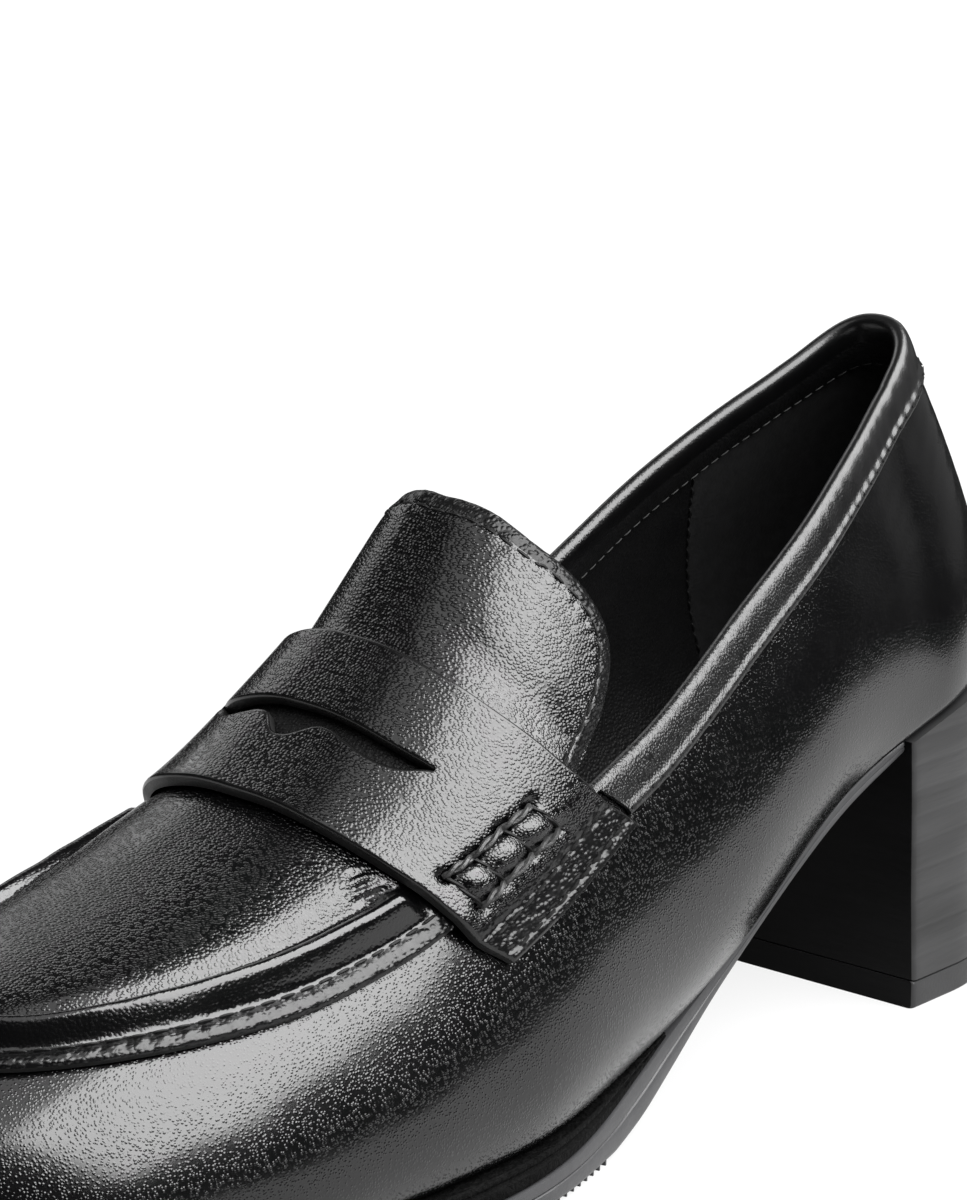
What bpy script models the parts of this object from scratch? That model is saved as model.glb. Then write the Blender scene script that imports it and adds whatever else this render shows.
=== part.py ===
"""Heeled penny loafer, left foot.

The shoe is built on a last: a function of a walk around the foot (heel, side, toe) and a climb
from the feather edge, where upper and sole meet, to the spine along the top of the foot. The
upper is the last's own surface with a leather wall inside it. Apron, tongue, saddle strap and
collar binding lie on that surface, and the sole pieces follow the feather edge below it.

Lengths in the tables are millimetres: station counts from the back of the heel to the toe,
side is positive on the outer (lateral) side of the foot, and height counts from the floor.
The part stands on the floor at z = 0 with +X to the toe, +Y to the outer side and +Z up.
"""
import bmesh
import bpy
import numpy as np

MM = 0.001
LATERAL = 1
MEDIAL = -1

# Driving dimensions of the last
HEEL_BACK = 4.0
HEEL_CENTRE = 30.0
TOE_CENTRE = 180.0
TOE_END = 248.0
HEEL_POWER = 2.2
TOE_POWER = {LATERAL: 2.2, MEDIAL: 2.6}
TOE_SWING = -6.0
BULGE_HEIGHT = 0.25
ORIGIN_STATION = 126.3
ORIGIN_SIDE = -0.7

# Leather and gaps
WALL = 1.8
GAP = 0.3
APRON_PLY = 1.3
TONGUE_PLY = 1.5
STRAP_PLY = 2.2
STRAP_LOW = 0.35
STRAP_HIGH = 2.15
STRAP_RISE_START = 0.33
STRAP_RISE_END = 0.405
BINDING_PLY = 0.9
BINDING_LEG = 7.0
BINDING_LEAST = 0.005
BINDING_TAPER = 0.6
BINDING_ROUND = 0.1
BINDING_END = 125.0
BINDING_CLEAR = 0.02

# Sole pieces
MIDSOLE_SETBACK = 0.6
MIDSOLE_REAR = 104.0
INSOLE_PLY = 2.5
INSOLE_INSET = 2.8
INSOLE_CLEAR = 0.1
LIFT_PLY = 5.0

# Number of steps of the walk around the last, and of the climb up it
HEEL_STEPS = 7
SIDE_STEPS = 24
TOE_STEPS = 12
CLIMB_STEPS = 11
SOLE_STEPS = 20
TONGUE_STEPS = 7
TONGUE_CLIMB_STEP = 0.075
STRAP_CLIMB_STEP = 0.05

# How finely the last is measured: a small step of walk or climb, samples up a section, and halvings
NUDGE = 0.002
SECTION_SAMPLES = 121
HALVINGS = 30

# Mesh clean-up: points closer than this are one point, and edges sharper than this stay sharp
WELD = 0.01
SHARP_DEGREES = 35.0


def table(columns, rows):
    """A table as one array for each named column."""
    values = np.array(rows, float)
    return {name: values[:, k] for k, name in enumerate(columns.split())}


# Plan and profile of the last: half widths and height of the feather edge, height and offset of the spine
LAST = table("station lateral medial feather spine spine_side", (
    (0.0, 24.3, 21.0, 57.0, 142.0, -0.5),
    (30.0, 25.0, 23.6, 50.5, 140.0, -0.5),
    (55.0, 24.5, 21.8, 42.0, 136.0, -1.7),
    (85.0, 24.5, 19.0, 22.0, 125.0, -2.2),
    (115.0, 29.0, 22.0, 12.8, 105.0, -3.0),
    (145.0, 36.0, 31.0, 10.4, 77.0, -4.5),
    (160.0, 36.7, 35.5, 10.2, 65.0, -5.0),
    (180.0, 36.6, 38.5, 10.5, 56.0, -5.0),
    (212.0, 36.9, 30.8, 12.0, 47.5, -5.0),
    (248.0, 20.0, 20.0, 15.0, 42.0, -5.0),
))

# Fullness of each section: how square it is across and upwards, and how far its sides bulge
FULLNESS = table("station across upwards lateral medial", (
    (4.0, 1.04, 1.7, 0.12, 0.12),
    (11.0, 0.88, 1.56, 0.106, 0.119),
    (20.0, 0.81, 1.45, 0.096, 0.123),
    (30.0, 0.87, 1.4, 0.10, 0.14),
    (42.0, 1.06, 1.46, 0.14, 0.195),
    (55.0, 1.23, 1.6, 0.20, 0.28),
    (66.0, 1.4, 1.71, 0.26, 0.38),
    (85.0, 1.65, 1.9, 0.34, 0.54),
    (115.0, 2.5, 2.1, 0.24, 0.46),
    (145.0, 2.9, 2.3, 0.10, 0.18),
    (180.0, 2.9, 2.4, 0.07, 0.06),
    (212.0, 3.0, 2.6, 0.04, 0.04),
    (248.0, 3.1, 2.8, 0.02, 0.02),
))

# Collar height at each station, then the throat that climbs to the spine
COLLAR = table("station height", (
    (16.0, 114.8), (18.0, 113.2), (21.0, 110.95), (24.0, 108.95), (30.0, 105.5), (40.0, 100.3),
    (50.0, 95.2), (66.0, 86.9), (80.0, 79.8), (95.0, 72.4), (108.0, 66.6), (126.0, 60.5),
))
COLLAR_END = 126.0
THROAT_END = 140.0

# Saddle strap: stations of its rear and front edges at each climb
STRAP = table("climb rear front", (
    (0.30, 119.0, 150.5), (0.37, 125.5, 155.2), (0.46, 131.4, 158.8), (0.54, 134.8, 161.2),
    (0.63, 137.7, 163.8), (0.80, 140.5, 166.6), (1.0, 140.8, 167.0),
))
# Slot through the strap: shares of the way from the strap's rear edge to its front one
SLOT = table("climb top bottom", (
    (0.69, 0.415, 0.415), (0.76, 0.415, 0.51), (0.86, 0.41, 0.51), (0.95, 0.405, 0.48), (1.0, 0.40, 0.58),
))

# Tongue: station of its rear edge over each climb, with a round ear at each corner
TONGUE = table("climb rear", (
    (0.425, 126.5), (0.435, 122.3), (0.455, 117.6), (0.485, 114.2), (0.53, 113.0),
    (0.60, 114.5), (0.68, 117.0), (0.80, 119.8), (1.0, 121.0),
))
TONGUE_FRONT = 147.0

# Apron: climb of its cut edge over each station, and its relief by distance in from that edge
APRON_EDGE = table("station climb", (
    (148.0, 0.425), (165.0, 0.44), (180.0, 0.46), (205.0, 0.505), (230.0, 0.545), (248.0, 0.555),
))
APRON_REAR = 148.0
APRON_RELIEF = table("inward height", (
    (0.0, 1.2), (3.4, 1.0), (6.0, 1.9), (8.0, 2.8), (9.8, 2.3), (11.2, 1.4), (14.0, 1.3),
))
RIDGE_FADE = 6.0
APRON_TOP_STEPS = 4

# Sole edge: margin outside the feather edge, underside height and welt height at each station
SOLE = table("station margin underside welt", (
    (38.0, -0.4, 43.9, 0.0), (55.0, -0.6, 38.3, 0.0), (85.0, -0.4, 18.4, 0.0), (103.0, 0.6, 7.0, 0.7),
    (112.0, 1.2, 2.5, 1.8), (121.0, 1.8, 0.3, 2.9), (130.0, 2.1, 0.0, 3.7), (145.0, 2.3, 0.0, 4.2),
    (180.0, 2.4, 0.0, 4.2), (206.0, 2.4, 0.0, 4.2), (228.0, 2.4, 1.2, 4.2), (248.0, 2.4, 3.8, 4.2),
))

# Profile of the sole's edge: distance out from the margin, and share of the way up, with a groove
SOLE_SIDE = table("out up", (
    (-1.6, 0.0), (-0.4, 0.10), (0.0, 0.58), (-0.5, 0.63), (0.0, 0.68), (-0.2, 1.0),
))

# Heel block: half widths and back station at each height up the block
HEEL = table("up back lateral medial", (
    (0.0, 7.0, 27.0, 24.6), (0.35, 5.6, 26.4, 24.0), (0.75, 4.4, 26.0, 23.6), (1.0, 4.2, 25.6, 23.4),
))
BREAST = {LATERAL: 38.0, MEDIAL: 40.8}
HEEL_FAN_CENTRE = 27.0
HEEL_FAN_POWER = 2.5
HEEL_FAN_STEPS = 9

# Colours of the finishes: red, green, blue, roughness
FINISH = {
    "black_leather": (0.012, 0.012, 0.013, 0.34),
    "collar_leather": (0.014, 0.014, 0.015, 0.38),
    "sock_leather": (0.035, 0.035, 0.037, 0.6),
    "grey_rubber": (0.075, 0.075, 0.08, 0.45),
    "black_welt": (0.01, 0.01, 0.01, 0.55),
    "stacked_heel": (0.028, 0.027, 0.027, 0.4),
    "rubber_lift": (0.02, 0.02, 0.02, 0.5),
}


def smooth(x, xs, ys):
    """A curve through the table's points, whose slope at each point comes from its neighbours."""
    slope = np.gradient(ys, xs)
    x = np.clip(x, xs[0], xs[-1])
    k = np.clip(np.searchsorted(xs, x, side="right") - 1, 0, len(xs) - 2)
    span = xs[k + 1] - xs[k]
    t = (x - xs[k]) / span
    start = (1 + 2 * t) * (1 - t) ** 2 * ys[k] + t * (1 - t) ** 2 * span * slope[k]
    return start + t ** 2 * (3 - 2 * t) * ys[k + 1] + t ** 2 * (t - 1) * span * slope[k + 1]


def step(x, low, high):
    """A soft step from 0 at low to 1 at high."""
    t = np.clip((x - low) / (high - low), 0.0, 1.0)
    return t * t * (3 - 2 * t)


def feather_height(station):
    """Height of the feather edge, where the upper meets the sole."""
    return smooth(station, LAST["station"], LAST["feather"])


def spine_height(station):
    """Height of the last's top line."""
    return smooth(station, LAST["station"], LAST["spine"])


def half_width(station, side):
    """Distance of the feather edge from the middle line, on one side."""
    return smooth(station, LAST["station"], LAST["lateral" if side == LATERAL else "medial"])


def swing(station):
    """The toe's curve towards the inner side of the foot."""
    t = np.clip((station - TOE_CENTRE) / (TOE_END - TOE_CENTRE), 0.0, 1.0)
    return TOE_SWING * t ** 2


def walk_at(station):
    """Walk of a station along the side, between the heel's fan (0 to 1) and the toe's (2 to 3)."""
    return 1 + (station - HEEL_CENTRE) / (TOE_CENTRE - HEEL_CENTRE)


def fan_radius(a, b, power, cosine, sine):
    """Radius of a superellipse with half axes a and b."""
    return (np.abs(cosine / a) ** power + np.abs(sine / b) ** power) ** (-1 / power)


def feather_and_spine(walk, side):
    """Plan of the feather edge, and of the spine point that its section rises to."""
    heel = np.clip(walk, 0, 1) * np.pi / 2
    toe = np.clip(walk - 2, 0, 1) * np.pi / 2
    spine_x = HEEL_CENTRE + np.clip(walk - 1, 0, 1) * (TOE_CENTRE - HEEL_CENTRE)
    heel_side = half_width(HEEL_CENTRE, side)
    toe_side = half_width(TOE_CENTRE, side)
    heel_r = fan_radius(HEEL_CENTRE - HEEL_BACK, heel_side, HEEL_POWER, np.cos(heel), np.sin(heel))
    toe_r = fan_radius(TOE_END - TOE_CENTRE, toe_side, TOE_POWER[side], np.sin(toe), np.cos(toe))
    x = np.where(walk < 1, HEEL_CENTRE - heel_r * np.cos(heel), spine_x)
    x = np.where(walk > 2, TOE_CENTRE + toe_r * np.sin(toe), x)
    y = np.where(walk < 1, heel_r * np.sin(heel), half_width(spine_x, side))
    y = side * np.where(walk > 2, toe_r * np.cos(toe), y)
    return x, y, spine_x, smooth(spine_x, LAST["station"], LAST["spine_side"])


def last_point(walk, climb, side):
    """A point of the last: sections are superellipses from feather to spine, fuller low on the side."""
    walk, climb = np.broadcast_arrays(np.asarray(walk, float), np.asarray(climb, float))
    foot_x, foot_y, spine_x, spine_y = feather_and_spine(walk, side)
    across = smooth(foot_x, FULLNESS["station"], FULLNESS["across"])
    upwards = smooth(foot_x, FULLNESS["station"], FULLNESS["upwards"])
    bulge = smooth(foot_x, FULLNESS["station"], FULLNESS["lateral" if side == LATERAL else "medial"])
    turn = climb * np.pi / 2
    rise = np.sin(turn) ** (2 / upwards)
    fade = (1 - BULGE_HEIGHT) / BULGE_HEIGHT
    belly = rise / BULGE_HEIGHT * ((1 - rise) / (1 - BULGE_HEIGHT)) ** fade
    reach = np.maximum(np.cos(turn), 0.0) ** (2 / across) + bulge * belly
    x = spine_x + (foot_x - spine_x) * reach
    y = spine_y + (foot_y - spine_y) * reach + swing(x)
    low = feather_height(foot_x)
    return np.stack([x, y, low + (spine_height(x) - low) * rise], -1)


def last_normal(walk, climb, side):
    """Outward direction of the last, from the directions along the walk and up the climb."""
    walk, climb = np.broadcast_arrays(np.asarray(walk, float), np.asarray(climb, float))
    back, front = np.maximum(walk - NUDGE, 0.0), np.minimum(walk + NUDGE, 3.0)
    below, above = np.maximum(climb - NUDGE, 0.0), np.minimum(climb + NUDGE, 1.0)
    along = last_point(front, climb, side) - last_point(back, climb, side)
    up = last_point(walk, above, side) - last_point(walk, below, side)
    normal = -side * np.cross(along, up)
    spine_x = feather_and_spine(walk, side)[2]
    slope = spine_height(spine_x + 1) - spine_height(spine_x - 1)
    ridge = np.stack([-slope / 2, 0 * slope, 1 + 0 * slope], -1)
    normal = np.where((climb == 1.0)[..., None], ridge, normal)
    return normal / np.linalg.norm(normal, axis=-1, keepdims=True)


def skin(walk, climb, side, offset):
    """A point at an offset outside the last."""
    return last_point(walk, climb, side) + last_normal(walk, climb, side) * np.asarray(offset)[..., None]


def climb_at_heights(walk, side, heights):
    """Climb at which each section reaches the table's height for the station it has there, by halving."""
    low, high = np.zeros_like(walk), np.ones_like(walk)
    for _ in range(HALVINGS):
        middle = (low + high) / 2
        point = last_point(walk, middle, side)
        under = point[..., 2] < smooth(point[..., 0], heights["station"], heights["height"])
        low, high = np.where(under, middle, low), np.where(under, high, middle)
    return (low + high) / 2


def climbs_by_length(walk, side, start, end, lengths=None, shares=None):
    """Climbs from start to end of each section, at lengths from the start or at shares of the whole."""
    fine = start[:, None] + (end - start)[:, None] * np.linspace(0, 1, SECTION_SAMPLES)
    points = last_point(walk[:, None], fine, side)
    run = np.cumsum(np.linalg.norm(np.diff(points, axis=1), axis=-1), axis=1)
    run = np.hstack([np.zeros((len(walk), 1)), run])
    wanted = [np.asarray(shares) * r[-1] if lengths is None else lengths(r[-1]) for r in run]
    return np.array([np.interp(w, r, f) for w, r, f in zip(wanted, run, fine)])


def climb_rows(climbs, longest):
    """The table's climbs, with even ones between any two that lie further apart than the longest step."""
    rows = [np.linspace(a, b, int(np.ceil((b - a) / longest)) + 1)[1:] for a, b in zip(climbs, climbs[1:])]
    return np.concatenate([climbs[:1], *rows])


def walk_steps():
    """The walk's own steps, from the back of the heel to the tip of the toe."""
    heel = np.linspace(0, 1, HEEL_STEPS + 1)
    side = np.linspace(1, 2, SIDE_STEPS + 1)[1:]
    toe = np.linspace(2, 3, TOE_STEPS + 1)[1:]
    return np.concatenate([heel, side, toe])


def collar_climb(walk, side):
    """Climb of the upper's top edge: the collar, then the throat up to the spine."""
    foot_x = feather_and_spine(walk, side)[0]
    collar = climb_at_heights(walk, side, COLLAR)
    throat = step(foot_x, COLLAR_END, THROAT_END)
    return np.where(foot_x >= THROAT_END, 1.0, collar + (1 - collar) * throat)


def world(points):
    """Millimetres of the tables to metres about the part's origin."""
    return (np.asarray(points) - (ORIGIN_STATION, ORIGIN_SIDE, 0.0)) * MM


def material(name):
    """A plain material with one of the named finishes."""
    red, green, blue, roughness = FINISH[name]
    finish = bpy.data.materials.new(name)
    finish.use_nodes = True
    shader = finish.node_tree.nodes["Principled BSDF"]
    shader.inputs["Base Color"].default_value = (red, green, blue, 1.0)
    shader.inputs["Roughness"].default_value = roughness
    shader.inputs["Metallic"].default_value = 0.0
    finish.diffuse_color = (red, green, blue, 1.0)
    return finish


def add_object(name, vertices, faces, finish):
    """A mesh object in the shoe's collection, welded and with its faces pointing out."""
    mesh = bpy.data.meshes.new(name)
    mesh.from_pydata([tuple(v) for v in vertices], [], faces)
    work = bmesh.new()
    work.from_mesh(mesh)
    bmesh.ops.remove_doubles(work, verts=work.verts, dist=WELD * MM)
    bmesh.ops.recalc_face_normals(work, faces=work.faces)
    work.to_mesh(mesh)
    work.free()
    mesh.shade_smooth()
    mesh.set_sharp_from_angle(angle=np.radians(SHARP_DEGREES))
    mesh.materials.append(finish)
    part = bpy.data.objects.new(name, mesh)
    bpy.data.collections["heeled_loafer"].objects.link(part)
    return part


def sheet_faces(columns, rows, skip=()):
    """Quads over a grid of columns and rows, apart from skipped cells."""
    cells = ((i, j) for i in range(columns - 1) for j in range(rows - 1) if (i, j) not in skip)
    return [(i * rows + j, (i + 1) * rows + j, (i + 1) * rows + j + 1, i * rows + j + 1) for i, j in cells]


def add_sheet(name, grid, thickness, finish, skip=()):
    """A leather sheet: an open surface whose thickness lies on its inner side."""
    columns, rows, _ = grid.shape
    sheet = add_object(name, world(grid.reshape(-1, 3)), sheet_faces(columns, rows, skip), finish)
    solid = sheet.modifiers.new("leather", "SOLIDIFY")
    solid.thickness = thickness * MM
    solid.offset = -1.0
    return sheet


def add_shell(name, outer, inner, finish):
    """A sheet whose thickness changes: two skins over one grid, closed along every free edge."""
    columns, rows, _ = outer.shape
    flat = outer.reshape(-1, 3)
    _, first, ids = np.unique(np.round(flat / WELD), axis=0, return_index=True, return_inverse=True)
    ids = ids.reshape(-1)
    count = len(first)
    vertices = np.vstack([flat[first], inner.reshape(-1, 3)[first]])
    faces, free = [], {}
    for quad in sheet_faces(columns, rows):
        face = list(dict.fromkeys(int(ids[k]) for k in quad))
        if len(face) < 3:
            continue
        faces.append(face)
        faces.append([k + count for k in reversed(face)])
        for a, b in zip(face, face[1:] + face[:1]):
            if free.pop((b, a), None) is None:
                free[(a, b)] = True
    faces += [(b, a, a + count, b + count) for a, b in free]
    return add_object(name, world(vertices), faces, finish)


def add_loft(name, sections, finish, cap_start=False, cap_end=False):
    """A solid lofted through closed sections. An end that runs out to an edge needs no cap."""
    count, size, _ = sections.shape
    faces = []
    for i in range(count - 1):
        for j in range(size):
            k = (j + 1) % size
            faces.append((i * size + j, (i + 1) * size + j, (i + 1) * size + k, i * size + k))
    if cap_start:
        faces.append(tuple(range(size)))
    if cap_end:
        faces.append(tuple(range((count - 1) * size, count * size)))
    return add_object(name, world(sections.reshape(-1, 3)), faces, finish)


def both_sides(lateral, medial):
    """Lateral columns from the heel to the toe, then medial ones back to the heel."""
    return np.concatenate([lateral, medial[::-1]])


def make_upper():
    """Vamp and quarters: one leather wall around the last, open at the collar and underneath."""
    walk = walk_steps()
    shares = np.linspace(0, 1, CLIMB_STEPS + 1)
    grids = []
    for side in (LATERAL, MEDIAL):
        climb = climbs_by_length(walk, side, 0 * walk, collar_climb(walk, side), shares=shares)
        grids.append(last_point(walk[:, None], climb, side))
    # The medial columns at the toe's tip and at the back of the heel are the lateral ones again
    return add_sheet("upper", both_sides(*grids), WALL, material("black_leather"))


def apron_lengths(whole):
    """Distances in from the apron's cut edge: its relief's own, then even ones to the spine."""
    inward = APRON_RELIEF["inward"]
    shares = np.arange(1, APRON_TOP_STEPS + 1) / APRON_TOP_STEPS
    return np.concatenate([inward, inward[-1] + (whole - inward[-1]) * shares])


def make_apron():
    """The moccasin apron: a plug with a flat sewn margin and a raised ridge, which fades under the strap."""
    walk = walk_steps()
    walk = walk[walk >= walk_at(APRON_REAR)]
    outer, inner = [], []
    for side in (LATERAL, MEDIAL):
        foot_x = feather_and_spine(walk, side)[0]
        edge = smooth(foot_x, APRON_EDGE["station"], APRON_EDGE["climb"])
        climb = climbs_by_length(walk, side, edge, 0 * walk + 1, lengths=apron_lengths)
        height = np.append(APRON_RELIEF["height"], [APRON_PLY] * APRON_TOP_STEPS)
        strap_front = smooth(climb, STRAP["climb"], STRAP["front"])
        clear = step(foot_x[:, None], strap_front, strap_front + RIDGE_FADE)
        height = APRON_PLY + (height - APRON_PLY) * clear
        outer.append(skin(walk[:, None], climb, side, GAP + height))
        inner.append(skin(walk[:, None], climb, side, GAP + 0 * climb))
    return add_shell("apron", both_sides(*outer), both_sides(*inner), material("black_leather"))


def make_tongue():
    """The tongue: a sheet over the instep, from under the strap to a round-eared top edge."""
    half = climb_rows(TONGUE["climb"], TONGUE_CLIMB_STEP)
    shares = np.linspace(0, 1, TONGUE_STEPS + 1)
    grids = []
    for side in (LATERAL, MEDIAL):
        rear = smooth(half, TONGUE["climb"], TONGUE["rear"])
        station = rear[:, None] + (TONGUE_FRONT - rear[:, None]) * shares
        grids.append(skin(walk_at(station), half[:, None], side, GAP + TONGUE_PLY + 0 * station))
    grid = np.concatenate([grids[0], grids[1][-2::-1]])
    return add_sheet("tongue", grid, TONGUE_PLY, material("black_leather"))


def make_strap():
    """The saddle strap over the instep, sewn to the upper at both ends, with its slot cut through."""
    half = climb_rows(np.union1d(STRAP["climb"], SLOT["climb"]), STRAP_CLIMB_STEP)
    rear_shares = np.linspace(0, 1, 3)
    grids = []
    for side in (LATERAL, MEDIAL):
        rear = smooth(half, STRAP["climb"], STRAP["rear"])
        front = smooth(half, STRAP["climb"], STRAP["front"])
        top = np.interp(half, SLOT["climb"], SLOT["top"])
        bottom = np.interp(half, SLOT["climb"], SLOT["bottom"])
        across = np.hstack([rear_shares * top[:, None], 1 - (1 - rear_shares) * (1 - bottom[:, None])])
        station = rear[:, None] + (front - rear)[:, None] * across
        lift = STRAP_LOW + (STRAP_HIGH - STRAP_LOW) * step(half, STRAP_RISE_START, STRAP_RISE_END)
        offset = lift[:, None] + STRAP_PLY + 0 * station
        grids.append(skin(walk_at(station), half[:, None], side, offset))
    grid = np.concatenate([grids[0], grids[1][-2::-1]])
    slot_row = len(rear_shares) - 1
    skip = {(i, slot_row) for i in range(len(grid) - 1)}
    return add_sheet("saddle_strap", grid, STRAP_PLY, material("black_leather"), skip)


def make_binding():
    """The collar binding: a folded strip over the upper's top edge, with a leg on each side of the wall."""
    walk = walk_steps()
    walk = walk[walk < walk_at(BINDING_END)]
    sections = []
    for side in (LATERAL, MEDIAL):
        foot_x = feather_and_spine(walk, side)[0]
        rim = collar_climb(walk, side)
        strap_edge = np.interp(foot_x, STRAP["rear"], STRAP["climb"], left=0.0)
        leg = climbs_by_length(walk, side, rim, 0 * walk, lengths=lambda _: [BINDING_LEG / 2, BINDING_LEG])
        leg = np.maximum(leg, (strap_edge + BINDING_CLEAR)[:, None])
        leg = np.minimum(leg, (rim - BINDING_LEAST)[:, None])
        up = last_point(walk, rim + NUDGE, side) - last_point(walk, rim - NUDGE, side)
        up /= np.linalg.norm(up, axis=-1, keepdims=True)
        out = GAP + BINDING_PLY
        inn = -WALL - GAP
        here = last_point(walk, rim, side)
        normal = last_normal(walk, rim, side)
        ring = [
            skin(walk, leg[:, 1], side, GAP + BINDING_TAPER * BINDING_PLY + 0 * walk),
            skin(walk, leg[:, 0], side, out + BINDING_ROUND + 0 * walk),
            here + normal * out + up * GAP,
            here - normal * WALL / 2 + up * (GAP + BINDING_PLY),
            here + normal * (inn - BINDING_PLY) + up * GAP,
            skin(walk, leg[:, 0], side, inn - BINDING_PLY + 0 * walk),
            skin(walk, leg[:, 0], side, inn + 0 * walk),
            here + normal * inn + up * GAP,
            here + normal * GAP + up * GAP,
            skin(walk, leg[:, 0], side, GAP + 0 * walk),
            skin(walk, leg[:, 1], side, GAP + 0 * walk),
        ]
        sections.append(np.stack(ring, 1))
    loop = np.concatenate([sections[0][::-1], sections[1][1:]])
    return add_loft("collar_binding", loop, material("collar_leather"), cap_start=True, cap_end=True)


def edge_point(walk, side, margin):
    """Plan of the feather edge moved outwards by a margin."""
    x, y, _, _ = feather_and_spine(walk, side)
    x0, y0, _, _ = feather_and_spine(np.maximum(walk - NUDGE, 0.0), side)
    x1, y1, _, _ = feather_and_spine(np.minimum(walk + NUDGE, 3.0), side)
    outward = side * np.stack([-(y1 - y0), x1 - x0], -1)
    outward /= np.linalg.norm(outward, axis=-1, keepdims=True)
    outward = np.where((walk < NUDGE)[:, None], (-1.0, 0.0), outward)
    outward = np.where((walk > 3 - NUDGE)[:, None], (1.0, 0.0), outward)
    plan = np.stack([x, y + swing(x)], -1)
    return plan + outward * np.broadcast_to(margin, x.shape)[:, None]


def solid_point(plan, height):
    """Plan points lifted to a height."""
    return np.concatenate([plan, np.broadcast_to(height, plan.shape[:1])[:, None]], -1)


def sole_top(station):
    """Top of the outsole: under the welt where there is one, and else under the upper."""
    welt = smooth(station, SOLE["station"], SOLE["welt"])
    return feather_height(station) - GAP - np.maximum(welt, 0.0)


def sole_underside(station):
    """Underside of the outsole: the waist's curve down to a flat tread, and the toe's spring."""
    return np.maximum(smooth(station, SOLE["station"], SOLE["underside"]), 0.0)


def walk_from(station):
    """Walk steps of one side from a station of the waist to the toe."""
    side = np.linspace(walk_at(station), 2, SOLE_STEPS + 1)
    return np.concatenate([side, np.linspace(2, 3, TOE_STEPS + 1)[1:]])


def make_outsole():
    """The outsole, from the heel's breast to the toe, with a groove along its side and a flat tread."""
    halves = []
    for side in (LATERAL, MEDIAL):
        walk = walk_from(BREAST[side] + GAP)
        foot_x = feather_and_spine(walk, side)[0]
        margin = smooth(foot_x, SOLE["station"], SOLE["margin"])
        rows = []
        for out, up in zip(SOLE_SIDE["out"], SOLE_SIDE["up"]):
            plan = edge_point(walk, side, margin + out)
            low = sole_underside(plan[:, 0])
            rows.append(solid_point(plan, low + (sole_top(plan[:, 0]) - low) * up))
        halves.append(rows)
    sections = np.stack(halves[0] + halves[1][::-1], 1)
    return add_loft("outsole", sections, material("grey_rubber"), cap_start=True)


def make_midsole():
    """The midsole: a plate under the forefoot whose edge is the welt, and which runs out in the waist."""
    halves = []
    for side in (LATERAL, MEDIAL):
        walk = walk_from(MIDSOLE_REAR)
        foot_x = feather_and_spine(walk, side)[0]
        plan = edge_point(walk, side, smooth(foot_x, SOLE["station"], SOLE["margin"]) - MIDSOLE_SETBACK)
        low = sole_top(plan[:, 0]) + GAP
        high = feather_height(plan[:, 0]) - GAP
        halves.append([solid_point(plan, height) for height in (low, high)])
    sections = np.stack(halves[0] + halves[1][::-1], 1)
    return add_loft("midsole", sections, material("black_welt"), cap_start=True)


def make_insole():
    """The insole inside the upper, from heel to toe."""
    walk = walk_steps()
    halves = []
    for side in (LATERAL, MEDIAL):
        plan = edge_point(walk, side, -INSOLE_INSET)
        floor = feather_height(plan[:, 0])
        halves.append([solid_point(plan, floor + z) for z in (INSOLE_CLEAR, INSOLE_PLY)])
    sections = np.stack(halves[0] + halves[1][::-1], 1)
    return add_loft("insole", sections, material("sock_leather"))


def heel_outline(up, side):
    """Half the heel's outline at a share of its height: a round back, then a straight side to the breast."""
    back = np.interp(up, HEEL["up"], HEEL["back"])
    width = {s: np.interp(up, HEEL["up"], HEEL[n]) for s, n in ((LATERAL, "lateral"), (MEDIAL, "medial"))}
    turn = np.linspace(0, np.pi / 2, HEEL_FAN_STEPS + 1)
    r = fan_radius(HEEL_FAN_CENTRE - back, width[side], HEEL_FAN_POWER, np.cos(turn), np.sin(turn))
    plan = np.stack([HEEL_FAN_CENTRE - r * np.cos(turn), side * r * np.sin(turn)], -1)
    slant = (BREAST[MEDIAL] - BREAST[LATERAL]) / (HEEL["lateral"][0] + HEEL["medial"][0])
    breast = (BREAST[LATERAL] + slant * (HEEL["lateral"][0] - side * width[side]), side * width[side])
    return np.vstack([plan, breast])


def make_heel():
    """The stacked heel block, up to the upper's seat, with a straight breast."""
    halves = []
    for side in (LATERAL, MEDIAL):
        levels = []
        for up in HEEL["up"]:
            plan = heel_outline(up, side)
            low = LIFT_PLY + GAP
            levels.append(solid_point(plan, low + (feather_height(plan[:, 0]) - GAP - low) * up))
        halves.append(levels)
    sections = np.stack(halves[0] + halves[1][::-1], 1)
    return add_loft("heel_block", sections, material("stacked_heel"), cap_end=True)


def make_lift():
    """The top lift: the heel's rubber tread."""
    halves = []
    for side in (LATERAL, MEDIAL):
        plan = heel_outline(0.0, side)
        halves.append([solid_point(plan, z) for z in (0.0, LIFT_PLY)])
    sections = np.stack(halves[0] + halves[1][::-1], 1)
    return add_loft("heel_top_lift", sections, material("rubber_lift"), cap_end=True)


def main():
    """Clears the scene and makes each piece in the shoe's own collection."""
    for old in list(bpy.data.objects):
        bpy.data.objects.remove(old, do_unlink=True)
    shoe = bpy.data.collections.new("heeled_loafer")
    bpy.context.scene.collection.children.link(shoe)
    make_upper()
    make_apron()
    make_tongue()
    make_strap()
    make_binding()
    make_insole()
    make_midsole()
    make_outsole()
    make_heel()
    make_lift()


main()
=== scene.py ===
# %% [markdown]
# # A heeled penny loafer in black leather
#
# The shoe's solids are already packed: an upper with real walls, an apron, a tongue, a strap, a
# bound collar, and the sole pieces with a block heel. This lesson dresses each of them with the
# shape and finish that the eye reads: puckered seams, thread, pebbled grain and stacked layers.
# Every surface is worked out with numpy on the same last as the solids, so it lands on them.

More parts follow.
